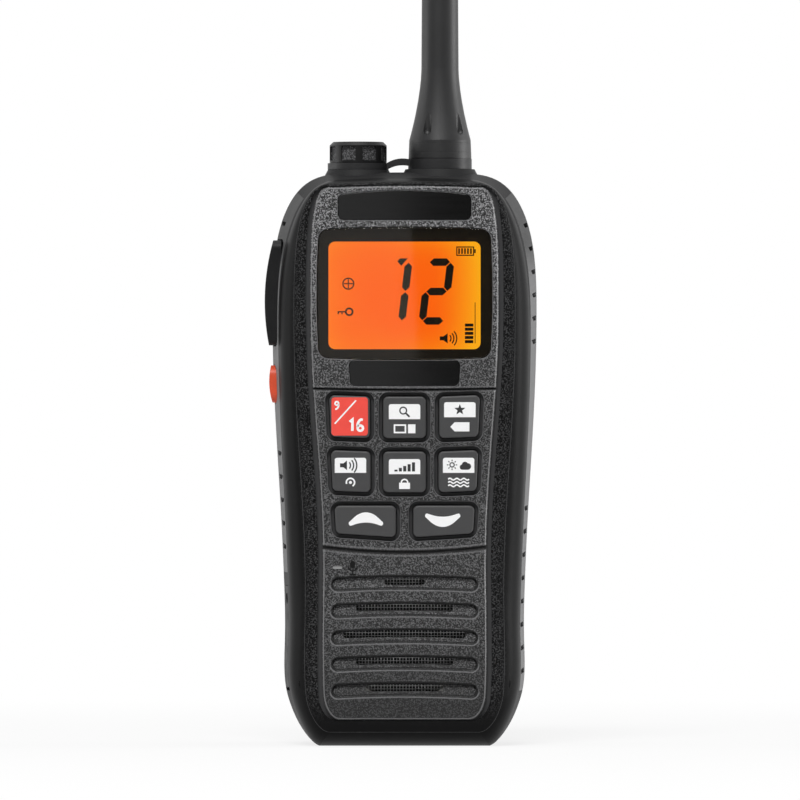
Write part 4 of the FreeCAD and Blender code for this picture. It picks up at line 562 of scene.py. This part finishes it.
def ribbon(points, width, closed=False):
    """A line of constant width through the points, mitred at its corners, as quads."""
    count = len(points)
    edges = []
    for i, here in enumerate(points):
        runs = []
        if closed or i > 0:
            runs.append((points[i - 1], here))
        if closed or i < count - 1:
            runs.append((here, points[(i + 1) % count]))
        turns = [math.atan2(b[1] - a[1], b[0] - a[0]) for a, b in runs]
        nx = -sum(math.sin(t) for t in turns) / len(turns)
        nz = sum(math.cos(t) for t in turns) / len(turns)
        reach = width / 2 / (nx * nx + nz * nz)
        edges.append([(here[0] + side * nx * reach, here[1] + side * nz * reach) for side in (1, -1)])
    following = edges[1:] + edges[:1] if closed else edges[1:]
    return [[a, b, d, c] for (a, b), (c, d) in zip(edges, following)]


def ring(x, z, radius, width, start=0, end=360, steps=12):
    """A ring of the given middle radius, or a piece of one."""
    if end - start == 360:
        return ribbon(disc(x, z, radius, 24), width, True)
    return ribbon(arc_points(x, z, radius, start, end, steps), width)


def facing_front(points):
    """The points in the order that makes a face look to the front."""
    area = sum(a[0] * b[1] - b[0] * a[1] for a, b in zip(points, points[1:] + points[:1]))
    return points if area > 0 else points[::-1]


def need(things, what):
    """Stops the script where a step has made nothing."""
    if not things:
        raise RuntimeError("nothing was made for " + what)


def new_object(name, verts, faces, material):
    """A mesh object at the origin, in the scene."""
    need(faces, name)
    mesh = bpy.data.meshes.new(name)
    mesh.from_pydata(verts, [], faces)
    mesh.materials.append(material)
    made = bpy.data.objects.new(name, mesh)
    bpy.context.scene.collection.objects.link(made)
    return made


def moved(shapes, x, z):
    """The outlines, shifted."""
    return [[(x + u, z + v) for u, v in shape] for shape in shapes]


def flat_piece(name, shapes, front, back, material, body):
    """Thin plates of the given outlines, from depth front to depth back, as one piece on a body.

    Outlines that share an edge grow together, so no wall stands between them.
    """
    spots, outlines = {}, []
    for shape in shapes:
        line = [spots.setdefault((round(x, 5), round(z, 5)), len(spots)) for x, z in facing_front(shape)]
        outlines.append([a for a, b in zip(line, line[1:] + line[:1]) if a != b])
    edges = dict.fromkeys((a, b) for line in outlines for a, b in zip(line, line[1:] + line[:1]))
    count = len(spots)
    verts = [(x * MM, depth * MM, z * MM) for depth in (front, back) for x, z in spots]
    faces = outlines + [[count + i for i in reversed(line)] for line in outlines]
    faces += [[a, count + a, count + b, b] for a, b in edges if (b, a) not in edges]
    piece = new_object(name, verts, faces, material)
    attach(piece, body)


def numeral(figure):
    """Lines of a plain upright 1, 6 or 9 one unit wide and two high, with whether each is closed."""
    bowl = arc_points(0.5, 0.52, 0.42, 140, 500, 16)[:-1]
    if figure == "1":
        return [([(0.12, 1.5), (0.55, 1.87), (0.55, 0.08)], False)]
    if figure == "6":
        return [(bowl, True), ([(0.04, 0.78), (0.1, 1.25), (0.35, 1.7), (0.62, 1.88), (0.9, 1.84)], False)]
    turned = [(1 - u, 1.96 - v) for u, v in bowl]
    return [(turned, True), ([(0.96, 1.18), (0.9, 0.71), (0.65, 0.26), (0.38, 0.08), (0.1, 0.12)], False)]


def number_shapes(text, x, z, height, width=0.2):
    """Outlines of plain numerals, from the lower left of the first."""
    unit = height / 2
    shapes = []
    for i, figure in enumerate(text):
        left = x + i * unit * 1.3
        for line, closed in numeral(figure):
            shapes += ribbon([(left + u * unit, z + v * unit) for u, v in line], height * width, closed)
    return shapes


def lay_on(nodes, material):
    """Gives CAD nodes their finish."""
    for node in nodes:
        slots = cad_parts[node].data.materials
        slots.clear()
        slots.append(material)


# Operators

class RADIO_OT_casing(Operator):
    """Finish the shells, fascia, plates, grips and side keys"""

    bl_idname = "radio.casing"
    bl_label = "Casing"

    def execute(self, context):
        c = context.scene.radio_colours
        lay_on(["front_shell"], wing_plastic("front_shell_plastic", c.shell, c.fascia))
        lay_on(["front_fascia"], fascia_plastic("fascia_grain", c.fascia))
        lay_on(["rear_shell"], moulded("rear_shell_plastic", c.rear, grain_mm=0.3, depth_mm=0.04,
                                       uneven=0.5, shine=0.1))
        lay_on(["side_grip_left", "side_grip_right"], rubber("grip_rubber", c.grip, dark_above=106))
        lay_on(["name_plate", "lower_plate"], gloss("plate_gloss", (0.002, 0.002, 0.002), 0.03))
        side_rubber = rubber("side_key_rubber", (0.009, 0.009, 0.0095), 0.5, shine=0.2)
        lay_on(["talk_key", "port_flap"], side_rubber)
        lay_on(["power_key"], gloss("power_key_plastic", c.power, 0.42))
        lay_on(["main_gasket"], rubber("gasket_rubber", (0.015, 0.015, 0.015)))
        lay_on(["shell_screws"], metal("screw_steel", (0.35, 0.35, 0.36), 0.35))
        return {"FINISHED"}


class RADIO_OT_display(Operator):
    """Make the lit display behind its window: digits, battery, key, bars and printed border"""

    bl_idname = "radio.display"
    bl_label = "Display"

    def segment(self, ends, stroke_width):
        """One six-sided stroke of a digit, between two points above or beside each other."""
        (x0, z0), (x1, z1) = ends
        half, gap = stroke_width / 2, 0.13
        if abs(z0 - z1) < 0.01:
            x0, x1 = x0 + gap, x1 - gap
            return [(x0, z0), (x0 + half, z0 - half), (x1 - half, z0 - half), (x1, z0),
                    (x1 - half, z0 + half), (x0 + half, z0 + half)]
        z0, z1 = z0 + gap, z1 - gap
        return [(x0, z0), (x0 + half, z0 + half), (x0 + half, z1 - half), (x0, z1),
                (x0 - half, z1 - half), (x0 - half, z0 + half)]

    def digit(self, lit, x, z, sizes):
        """A leaning seven-stroke digit round its middle."""
        w, h = sizes.digit_width / MM / 2, sizes.digit_height / MM / 2
        ends = {"a": ((-w, h), (w, h)), "b": ((w, 0), (w, h)), "c": ((w, -h), (w, 0)),
                "d": ((-w, -h), (w, -h)), "e": ((-w, -h), (-w, 0)), "f": ((-w, 0), (-w, h)),
                "g": ((-w, 0), (w, 0))}
        shapes = [self.segment(ends[name], sizes.digit_stroke / MM) for name in lit]
        lean = sizes.digit_slant
        return [[(x + u + v * lean, z + v) for u, v in shape] for shape in shapes]

    def icons(self):
        """Battery, key, crossed ring, loudspeaker and level bars."""
        left, foot, right, top = 12.0, 112.72, 15.85, 114.62
        shapes = ribbon(rectangle(left, foot, right, top), 0.26, True)
        shapes.append(rectangle(right + 0.16, foot + 0.5, right + 0.5, top - 0.5))
        for i in range(5):
            shapes.append(rectangle(left + 0.33 + 0.68 * i, foot + 0.3, left + 0.72 + 0.68 * i, top - 0.3))
        shapes += ring(-12.7, 99.75, 0.78, 0.42)
        shapes += ribbon([(-13.65, 99.75), (-15.2, 99.75), (-15.2, 99.2)], 0.32)
        shapes.append(rectangle(-14.5, 99.2, -14.2, 99.57))
        shapes += ring(-12.9, 106.2, 1.25, 0.3)
        for line in ([(-12.9, 105.15), (-12.9, 107.25)], [(-13.95, 106.2), (-13.06, 106.2)],
                     [(-12.74, 106.2), (-11.85, 106.2)]):
            shapes += ribbon(line, 0.26)
        shapes.append([(8.1, 93.2), (8.9, 93.2), (9.9, 92.5), (9.9, 94.8), (8.9, 94.1), (8.1, 94.1)])
        for i in range(3):
            shapes += ring(9.6, 93.65, 1.07 + 0.66 * i, 0.28, -42, 42, 8)
        shapes += [rectangle(13.86, 92.55 + 0.95 * i, 15.8, 93.25 + 0.95 * i) for i in range(5)]
        shapes += ribbon([(16.2, 92.5), (16.2, 101.9)], 0.17)
        return shapes

    def border(self, middle, width, height):
        """Printed frame between the window's edge and the lit field."""
        outer = rounded(-width / 2, middle - height / 2, width / 2, middle + height / 2, 2.4)
        low, high = LIT_MIDDLE - LIT_HIGH, LIT_MIDDLE + LIT_HIGH
        corner = 1.5
        bowed = []
        for x, z in rounded(-LIT_WIDE, low, LIT_WIDE, high, 1.4):
            side = 1 - ((z - LIT_MIDDLE) / LIT_HIGH) ** 2
            over = 1 - (x / LIT_WIDE) ** 2
            x += math.copysign(0.22 * side, x) if abs(x) > LIT_WIDE - corner else 0
            z += 0.3 * over if z > high - corner else -0.3 * over if z < low + corner else 0
            bowed.append((x, z))
        return [[outer[i - 1], outer[i], bowed[i], bowed[i - 1]] for i in range(len(outer))]

    def execute(self, context):
        sizes, c = context.scene.radio_sizes, context.scene.radio_colours
        lay_on(["display_window"], clear_lens("window_acrylic"))
        lay_on(["lcd_panel"], lit_crystal("lit_crystal", c.amber, c.amber_edge))
        lay_on(["backlight"], printed("light_guide", (0.9, 0.75, 0.5)))
        face = box_mm("lcd_panel")[0].y
        black = printed("display_black", (0.006, 0.005, 0.004), 0.6, 0.05)
        digits = self.digit("bc", -2.29, DIGITS_MIDDLE, sizes)
        digits += self.digit("abged", 7.34, DIGITS_MIDDLE, sizes)
        top = DIGITS_MIDDLE + sizes.digit_height / MM / 2
        lead_in = [(-1.65, top + 0.2), (-1.05, top + 0.86), (0.75, top + 0.86), (-0.75, top - 0.86)]
        flat_piece("display_digits", digits + [lead_in], face - 0.06, face - 0.03, black, "radio")
        flat_piece("display_icons", self.icons(), face - 0.06, face - 0.03, black, "radio")
        low, high = box_mm("display_window")
        shapes = self.border((low.z + high.z) / 2, high.x - low.x - 0.5, high.z - low.z - 0.5)
        border_black = printed("border_black", (0.009, 0.007, 0.005), 0.6, 0.1)
        flat_piece("display_border", shapes, high.y - 0.08, high.y - 0.03, border_black, "radio")
        return {"FINISHED"}


class RADIO_OT_legends(Operator):
    """Print the pictograms and numbers on the keys, and the mark beside the microphone"""

    bl_idname = "radio.legends"
    bl_label = "Key legends"

    def dark_marks(self):
        """Key node to the dark pictogram on its white block, round the block's middle."""
        bars = [rectangle(-2.3 + 1.0 * i, -1.1, -1.6 + 1.0 * i, -0.7 + 0.42 * i) for i in range(5)]
        sky = ring(-1.5, 0.1, 0.5, 0.26)
        for i in range(8):
            sky += self.ray(-1.5, 0.1, 0.82, 1.2, 45 * i)
        sky.append(arc_points(0.85, -0.4, 0.6, 100, 270, 8) + arc_points(2.1, -0.25, 0.75, -90, 80, 8)
                   + arc_points(1.45, 0.1, 0.72, 30, 150, 8))
        star = [[self.star_point(i) for i in range(10)]]
        glass = ring(-0.3, 0.25, 0.77, 0.3) + ribbon([(0.35, -0.4), (1.15, -1.2)], 0.4)
        horn = [[(-2.4, -0.45), (-1.6, -0.45), (-0.8, -1.1), (-0.8, 1.1), (-1.6, 0.45), (-2.4, 0.45)]]
        for i in range(3):
            horn += ring(-1.1, 0, 1.1 + 0.72 * i, 0.3, -40, 40, 8)
        return {"key_scan": glass, "key_favourite": star, "key_volume": horn,
                "key_power_level": bars, "key_weather": sky}

    def white_marks(self):
        """Key node to the white pictogram below its block, round the pictogram's middle."""
        pair = ribbon(rectangle(-2.3, -0.85, 0.2, 0.85), 0.36, True) + [rectangle(0.8, -1.03, 2.5, 1.03)]
        tag = [[(-2.2, 0), (-1.2, 1.05), (2.2, 1.05), (2.2, -1.05), (-1.2, -1.05)]]
        ear = ring(0, 0, 0.95, 0.36, -60, 200, 16) + [disc(0, 0, 0.36, 14)]
        lock = [rectangle(-1.25, -1.2, 1.25, 0.25)] + ring(0, 0.25, 0.75, 0.34, 0, 180)
        waves = []
        for z in (-0.75, 0.0, 0.75):
            waves += ribbon([(-2.4 + 0.3 * i, z + 0.22 * math.sin(i * 1.18)) for i in range(17)], 0.32)
        return {"key_scan": pair, "key_favourite": tag, "key_volume": ear,
                "key_power_level": lock, "key_weather": waves}

    def ray(self, x, z, near, far, angle):
        """A short line that points away from a middle."""
        return ribbon([arc_points(x, z, reach, angle, angle, 1)[0] for reach in (near, far)], 0.22)

    def star_point(self, i):
        """One of a star's ten corners, an outer one first."""
        radius = 1.32 if i % 2 == 0 else 0.55
        return arc_points(0, 0, radius, 90 + 36 * i, 90 + 36 * i, 1)[0]

    def crescent(self, middle, half, rise, thick, up):
        """A bowed blade with blunt round tips, as one outline."""
        x, z = middle
        blunt = 0.55
        over, under = [], []
        for i in range(-8, 9):
            share = i / 8
            across, bow = x + (half - blunt) * share, 1 - share * share
            over.append((across, z + rise * bow + blunt + (thick - 2 * blunt) * bow ** 0.8))
            under.append((across, z + rise * bow - blunt))
        left = arc_points(x - half + blunt, z, blunt, 115, 255, 6)
        right = arc_points(x + half - blunt, z, blunt, -75, 65, 6)
        points = left + under[1:-1] + right + over[1:-1][::-1]
        return [points if up else [(u, 2 * z - v) for u, v in points]]

    def black_keys(self, face, ink, white, black):
        """White blocks on five keys, a dark pictogram on each and a white one below it."""
        half, height, below = 3.6, 3.45, 2.2
        pale = self.white_marks()
        for node, marks in self.dark_marks().items():
            low, high = box_mm(node)
            x = (low.x + high.x) / 2 + (-0.1 if low.x < -7 else 0.1 if low.x > 5 else 0)
            top = high.z - KEY_FLANGE - (1.75 if node != "key_favourite" else 1.6)
            foot = top - height
            block = [rounded(x - half, foot, x + half, top, 0.5, "0011")]
            flat_piece(node + "_block", block, face - ink, face, white, node)
            flat_piece(node + "_mark", moved(marks, x, (foot + top) / 2), face - 2 * ink, face - ink,
                       black, node)
            flat_piece(node + "_symbol", moved(pale[node], x, foot - below), face - ink, face, white, node)

    def red_key(self, face, ink, white, red):
        """Red panel of the first key, with a 16, a 9 and the line between them."""
        node = "key_channel_16"
        low, high = box_mm(node)
        left, right = low.x + KEY_FLANGE + 0.5, high.x - KEY_FLANGE - 0.5
        foot, top = low.z + KEY_FLANGE + 0.6, high.z - KEY_FLANGE - 0.5
        flat_piece(node + "_panel", [rounded(left, foot, right, top, 0.7)], face - ink, face, red, node)
        numbers = number_shapes("16", right - 4.35, foot + 0.95, 2.9)
        numbers += number_shapes("9", left + 0.75, top - 2.75, 1.9)
        numbers += ribbon([(left + 0.75, foot + 2.7), (left + 5.6, top - 0.7)], 0.34)
        flat_piece(node + "_numbers", numbers, face - 2 * ink, face - ink, white, node)

    def arrow_keys(self, face, ink, white):
        """A bowed white blade on each of the two wide keys."""
        up = self.crescent(UP_ARROW, 3.95, 0.75, 2.35, True)
        down = self.crescent(DOWN_ARROW, 4.05, 0.75, 2.35, False)
        flat_piece("key_up_arrow", up, face - ink, face, white, "key_up")
        flat_piece("key_down_arrow", down, face - ink, face, white, "key_down")

    def microphone(self, ink):
        """The dark mark beside the microphone's slit, and the grey felt in the slit."""
        mark = [rounded(-12.45, 40.95, -11.35, 42.6, 0.54)] + ring(-11.9, 41.3, 1.0, 0.3, 180, 360)
        mark += [rectangle(-12.06, 39.7, -11.74, 40.14), rectangle(-12.6, 39.35, -11.2, 39.7)]
        mark_black = printed("mark_black", (0.003, 0.003, 0.003), 0.6, 0.2)
        flat_piece("microphone_mark", mark, FASCIA_FACE - ink, FASCIA_FACE + 0.1, mark_black, "radio")
        slit = [rounded(-16.45, 40.78, -14.25, 41.42, 0.28)]
        felt = rubber("felt_grey", (0.42, 0.42, 0.42), 0.8)
        flat_piece("microphone_felt", slit, FASCIA_FACE + 0.3, FASCIA_FACE + 0.6, felt, "radio")

    def execute(self, context):
        sizes, c = context.scene.radio_sizes, context.scene.radio_colours
        lay_on(KEY_NODES, silicone("key_silicone", c.key))
        face = box_mm("key_scan")[0].y
        ink = sizes.ink_thickness / MM
        white = printed("white_ink", c.ink, 0.4)
        self.black_keys(face, ink, white, printed("black_ink", (0.02, 0.02, 0.021), 0.5))
        self.red_key(face, ink, white, silicone("red_face", c.red, 0.4))
        self.arrow_keys(face, ink, white)
        self.microphone(ink)
        return {"FINISHED"}


class RADIO_OT_speaker(Operator):
    """Weave the wire mesh behind the sound slots"""

    bl_idname = "radio.speaker"
    bl_label = "Speaker mesh"

    def tree(self, material):
        """Wires side by side, waved over and under, cut to a disc by scaling each to its chord."""
        tree = bpy.data.node_groups.new("woven_mesh", "GeometryNodeTree")
        face = tree.interface
        for name in ("Radius", "Pitch", "Wire"):
            face.new_socket(name, in_out="INPUT", socket_type="NodeSocketFloat")
        face.new_socket("Steps", in_out="INPUT", socket_type="NodeSocketInt")
        face.new_socket("Geometry", in_out="OUTPUT", socket_type="NodeSocketGeometry")
        nodes, links = tree.nodes, tree.links
        given = nodes.new("NodeGroupInput")

        def node(kind, inputs=None, output=0):
            made = nodes.new(kind)
            for name, value in (inputs or {}).items():
                if isinstance(value, bpy.types.NodeSocket):
                    links.new(value, made.inputs[name])
                else:
                    made.inputs[name].default_value = value
            return made.outputs[output]

        def calc(operation, *values):
            result = node("ShaderNodeMath", dict(enumerate(values)))
            result.node.operation = operation
            return result

        radius, pitch, wire, steps = (given.outputs[n] for n in ("Radius", "Pitch", "Wire", "Steps"))
        minus = calc("MULTIPLY", radius, -1.0)
        start = node("ShaderNodeCombineXYZ", {"X": minus})
        end = node("ShaderNodeCombineXYZ", {"X": radius})
        line = node("GeometryNodeCurvePrimitiveLine", {"Start": start, "End": end})
        fine = node("GeometryNodeResampleCurve", {"Curve": line, "Count": steps})
        place = node("GeometryNodeInputPosition")
        x = node("ShaderNodeSeparateXYZ", {0: place}, "X")
        wave = calc("MULTIPLY", calc("SINE", calc("MULTIPLY", x, calc("DIVIDE", math.pi, pitch))), wire)
        offset = node("ShaderNodeCombineXYZ", {"Y": wave})
        waved = node("GeometryNodeSetPosition", {"Geometry": fine, "Offset": offset})
        profile = node("GeometryNodeCurvePrimitiveCircle", {"Resolution": 5, "Radius": wire})
        strand = node("GeometryNodeCurveToMesh", {"Curve": waved, "Profile Curve": profile, "Fill Caps": True})
        count = calc("FLOOR", calc("DIVIDE", calc("MULTIPLY", radius, 1.96), pitch))
        low = calc("MULTIPLY", calc("MULTIPLY", calc("SUBTRACT", count, 1.0), pitch), -0.5)
        first = node("ShaderNodeCombineXYZ", {"Z": low})
        step = node("ShaderNodeCombineXYZ", {"Z": pitch})
        row = node("GeometryNodeMeshLine", {"Count": count, "Start Location": first, "Offset": step})
        z = node("ShaderNodeSeparateXYZ", {0: node("GeometryNodeInputPosition")}, "Z")
        share = calc("DIVIDE", z, radius)
        chord = calc("SQRT", calc("SUBTRACT", 1.0, calc("MULTIPLY", share, share)))
        order = node("GeometryNodeInputIndex")
        flip = calc("SUBTRACT", calc("MULTIPLY", calc("MODULO", order, 2.0), 2.0), 1.0)
        scale = node("ShaderNodeCombineXYZ", {"X": chord, "Y": flip, "Z": 1.0})
        rows = node("GeometryNodeInstanceOnPoints", {"Points": row, "Instance": strand, "Scale": scale})
        turned = node("GeometryNodeTransform", {"Geometry": rows, "Rotation": (0, math.pi / 2, 0)})
        both = node("GeometryNodeJoinGeometry")
        links.new(rows, both.node.inputs[0])
        links.new(turned, both.node.inputs[0])
        real = node("GeometryNodeRealizeInstances", {0: both})
        dressed = node("GeometryNodeSetMaterial", {"Geometry": real, "Material": material})
        out = nodes.new("NodeGroupOutput")
        links.new(dressed, out.inputs[0])
        return tree

    def outward(self, mesh):
        """Turns the faces outwards of every second wire, which the weave has mirrored."""
        work = bmesh.new()
        work.from_mesh(mesh)
        bmesh.ops.recalc_face_normals(work, faces=work.faces)
        work.to_mesh(mesh)
        work.free()

    def execute(self, context):
        sizes = context.scene.radio_sizes
        steel = metal("mesh_wire", (0.7, 0.7, 0.7), 0.25, (1, 1, 1))
        low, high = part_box("speaker_mesh")
        maker = bpy.data.objects.new("mesh_maker", bpy.data.meshes.new("mesh_maker"))
        context.scene.collection.objects.link(maker)
        modifier = maker.modifiers.new("weave", "NODES")
        modifier.node_group = self.tree(steel)
        values = {"Radius": (high.x - low.x) / 2 - 0.2 * MM, "Pitch": sizes.mesh_pitch,
                  "Wire": sizes.mesh_wire, "Steps": sizes.mesh_steps}
        for item in modifier.node_group.interface.items_tree:
            if item.name in values:
                modifier[item.identifier] = values[item.name]
        graph = context.evaluated_depsgraph_get()
        mesh = bpy.data.meshes.new_from_object(maker.evaluated_get(graph))
        bpy.data.objects.remove(maker)
        need(mesh.polygons, "the speaker mesh")
        self.outward(mesh)
        middle = (low + high) / 2
        for vertex in mesh.vertices:
            vertex.co += middle
        mesh.name = "sound_mesh"
        piece = bpy.data.objects.new("sound_mesh", mesh)
        context.scene.collection.objects.link(piece)
        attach(piece, "radio")
        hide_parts("speaker_mesh")
        return {"FINISHED"}


class RADIO_OT_top(Operator):
    """Finish the jack cap, its strap, the aerial and their seals"""

    bl_idname = "radio.top"
    bl_label = "Top"

    def execute(self, context):
        dark = (0.014, 0.014, 0.0145)
        lay_on(["jack_cap"], cap_plastic("cap_plastic", dark))
        lay_on(["cap_tether"], rubber("tether_rubber", (0.02, 0.02, 0.021), 0.5))
        lay_on(["cap_seal", "aerial_gasket"], rubber("seal_rubber", (0.012, 0.012, 0.012)))
        lay_on(["aerial_sleeve"], aerial_sleeve_rubber("aerial_rubber", dark))
        lay_on(["aerial_stud", "aerial_socket"], metal("turned_brass", (0.72, 0.52, 0.22), 0.25))
        lay_on(["audio_jack"], moulded("jack_plastic", (0.02, 0.02, 0.02)))
        return {"FINISHED"}


class RADIO_OT_back(Operator):
    """Finish the battery pack, latch, belt clip and strap eyelet"""

    bl_idname = "radio.back"
    bl_label = "Back"

    def execute(self, context):
        steel = (0.36, 0.36, 0.36)
        lay_on(["pack_case"], grained("pack_grain", (0.034, 0.034, 0.035), 0.5, 0.5, 0.03))
        lay_on(["pack_lid"], moulded("lid_plastic", (0.03, 0.03, 0.03)))
        lay_on(["battery_latch"], moulded("latch_plastic", (0.11, 0.11, 0.112), 0.42))
        clip = moulded("clip_plastic", (0.02, 0.02, 0.021), 0.34, 0.3, 0.012)
        lay_on(["belt_clip", "clip_base"], clip)
        lay_on(["clip_pin", "strap_eyelet"], metal("stainless", steel, 0.46, (0.06, 1, 1)))
        lay_on(["clip_spring", "latch_spring", "clip_screws"], metal("spring_steel", steel, 0.46))
        gold = metal("gold_plate", (0.9, 0.62, 0.22), 0.2, (1, 1, 1))
        lay_on(["pack_contacts", "contact_pins"], gold)
        return {"FINISHED"}


class RADIO_OT_inside(Operator):
    """Finish the boards, chassis, speaker and cells"""

    bl_idname = "radio.inside"
    bl_label = "Inside"

    def execute(self, context):
        lay_on(["main_board", "side_board", "battery_board"], board_green("solder_mask"))
        tinplate = metal("tinplate", (0.62, 0.61, 0.58))
        lay_on(["shield_cans", "speaker_basket", "speaker_magnet"], tinplate)
        lay_on(["chassis_frame"], metal("cast_alloy", (0.55, 0.55, 0.56), 0.45, (1, 1, 1)))
        lay_on(["board_screws", "charging_socket"], metal("bright_steel", (0.6, 0.6, 0.61), 0.25))
        lay_on(["battery_cells"], wrapped_cell("shrink_sleeve"))
        lay_on(["speaker_cone"], paper("cone_paper"))
        lay_on(["speaker_mesh"], metal("mesh_sheet", (0.3, 0.3, 0.3)))
        lay_on(["keypad_mat", "microphone"], rubber("mat_rubber", (0.05, 0.05, 0.05)))
        inner = moulded("inner_plastic", (0.02, 0.02, 0.02))
        lay_on(["contact_block", "talk_key_plunger", "power_key_plunger"], inner)
        return {"FINISHED"}


class RADIO_OT_stage(Operator):
    """Set the floor, backdrop, lamps, world and camera"""

    bl_idname = "radio.stage"
    bl_label = "Stage"

    def card(self, name, middle, half_width, half_height, lean, strength, across=(1, 0)):
        """A card round the radio, wide along the direction across, that only reflections see."""
        x, y, z = middle
        turn = math.radians(lean)
        verts = []
        for u, v in rectangle(-half_width, -half_height, half_width, half_height):
            over, rise = (u * math.cos(turn) - v * math.sin(turn), u * math.sin(turn) + v * math.cos(turn))
            verts.append((x + over * across[0], y + over * across[1], z + rise))
        p = Paint(name)
        card = new_object(name, verts, [(3, 2, 1, 0)], p.done(p.white_light(strength)))
        card.visible_camera = card.visible_diffuse = card.visible_shadow = False

    def lamp(self, name, place, aim, width, height, power):
        """A rectangular soft lamp that looks at a point."""
        data = bpy.data.lights.new(name, "AREA")
        data.shape = "RECTANGLE"
        data.size, data.size_y, data.energy = width, height, power
        lamp = bpy.data.objects.new(name, data)
        bpy.context.scene.collection.objects.link(lamp)
        lamp.location = place
        direction = lamp.location - type(lamp.location)(aim)
        lamp.rotation_euler = direction.to_track_quat("Z", "Y").to_euler()

    def floor(self, material):
        """A flat floor, larger behind the radio than before it."""
        corners = [(x, y, 0) for x, y in rectangle(-1.2, -0.6, 1.2, 1.4)]
        new_object("floor", corners, [(0, 1, 2, 3)], material)

    def world(self, scene):
        """White for the camera, glass and metal; dimmer as a light."""
        p = Paint("studio", bpy.data.worlds.new("studio"))
        strength = WORLD_LIGHT + (1 - WORLD_LIGHT) * p.seen()
        background = p.node("ShaderNodeBackground", {}, {"Color": (1, 1, 1), "Strength": strength})
        scene.world = p.done(background, "ShaderNodeOutputWorld")

    def lights(self, middle):
        """Four soft lamps, and the walls and card that glossy faces mirror."""
        self.lamp("front_lamp", (-0.2, -1.2, 1.4), middle, 0.8, 0.5, 21)
        self.lamp("left_lamp", (-1.5, 0.15, 0.15), middle, 0.5, 0.9, 6)
        self.lamp("right_lamp", (1.5, 0.15, 0.15), middle, 0.5, 0.9, 15)
        self.lamp("top_lamp", (0, -0.1, 1.8), middle, 1.0, 0.6, 5)
        self.card("grey_wall", (0, -4.6, 1.2), 4.5, 3.4, 0, 0.12)
        self.card("left_wall", (-4.5, -1.6, 1.2), 3.0, 3.4, 0, 0.2, (0, 1))
        self.card("right_wall", (4.5, -1.6, 1.2), 3.0, 3.4, 0, 0.3, (0, 1))
        self.card("bright_card", (-0.75, -3.2, 0.1), 0.757, 1.2, 2.6, 0.6)

    def camera(self, scene, middle):
        """A long lens straight in front of the radio."""
        data = bpy.data.cameras.new("camera")
        distance, view_width = 2.6, 0.1848
        data.sensor_width = 36
        data.lens = data.sensor_width * distance / view_width
        data.clip_end = 20
        camera = bpy.data.objects.new("camera", data)
        scene.collection.objects.link(camera)
        camera.location = (middle[0], -distance, middle[2])
        camera.rotation_euler = (math.radians(90), 0, 0)
        scene.camera = camera

    def execute(self, context):
        scene = context.scene
        middle = (-0.00104, 0, 0.0795)
        self.floor(stage_material("stage_paint", scene.radio_colours.stage_white))
        self.world(scene)
        self.lights(middle)
        self.camera(scene, middle)
        scene.view_settings.view_transform = "Standard"
        return {"FINISHED"}


class RADIO_PT_sidebar(Panel):
    """The radio's steps, sizes and colours"""

    bl_label = "Marine radio"
    bl_idname = "RADIO_PT_sidebar"
    bl_space_type = "VIEW_3D"
    bl_region_type = "UI"
    bl_category = "Radio"

    def draw(self, context):
        for operator in STEPS:
            self.layout.operator(operator.bl_idname)
        for group in (context.scene.radio_sizes, context.scene.radio_colours):
            for name in group.bl_rna.properties.keys():
                if name not in ("rna_type", "name"):
                    self.layout.prop(group, name)


STEPS = (RADIO_OT_casing, RADIO_OT_display, RADIO_OT_legends, RADIO_OT_speaker, RADIO_OT_top,
         RADIO_OT_back, RADIO_OT_inside, RADIO_OT_stage)
CLASSES = (RadioSizes, RadioColours) + STEPS + (RADIO_PT_sidebar,)


def register():
    for cls in CLASSES:
        bpy.utils.register_class(cls)
    bpy.types.Scene.radio_sizes = PointerProperty(type=RadioSizes)
    bpy.types.Scene.radio_colours = PointerProperty(type=RadioColours)


def unregister():
    del bpy.types.Scene.radio_colours
    del bpy.types.Scene.radio_sizes
    for cls in reversed(CLASSES):
        bpy.utils.unregister_class(cls)


def main():
    register()
    for operator in STEPS:
        group, name = operator.bl_idname.split(".")
        getattr(getattr(bpy.ops, group), name)()
    bpy.context.view_layer.update()


if __name__ == "__main__":
    main()
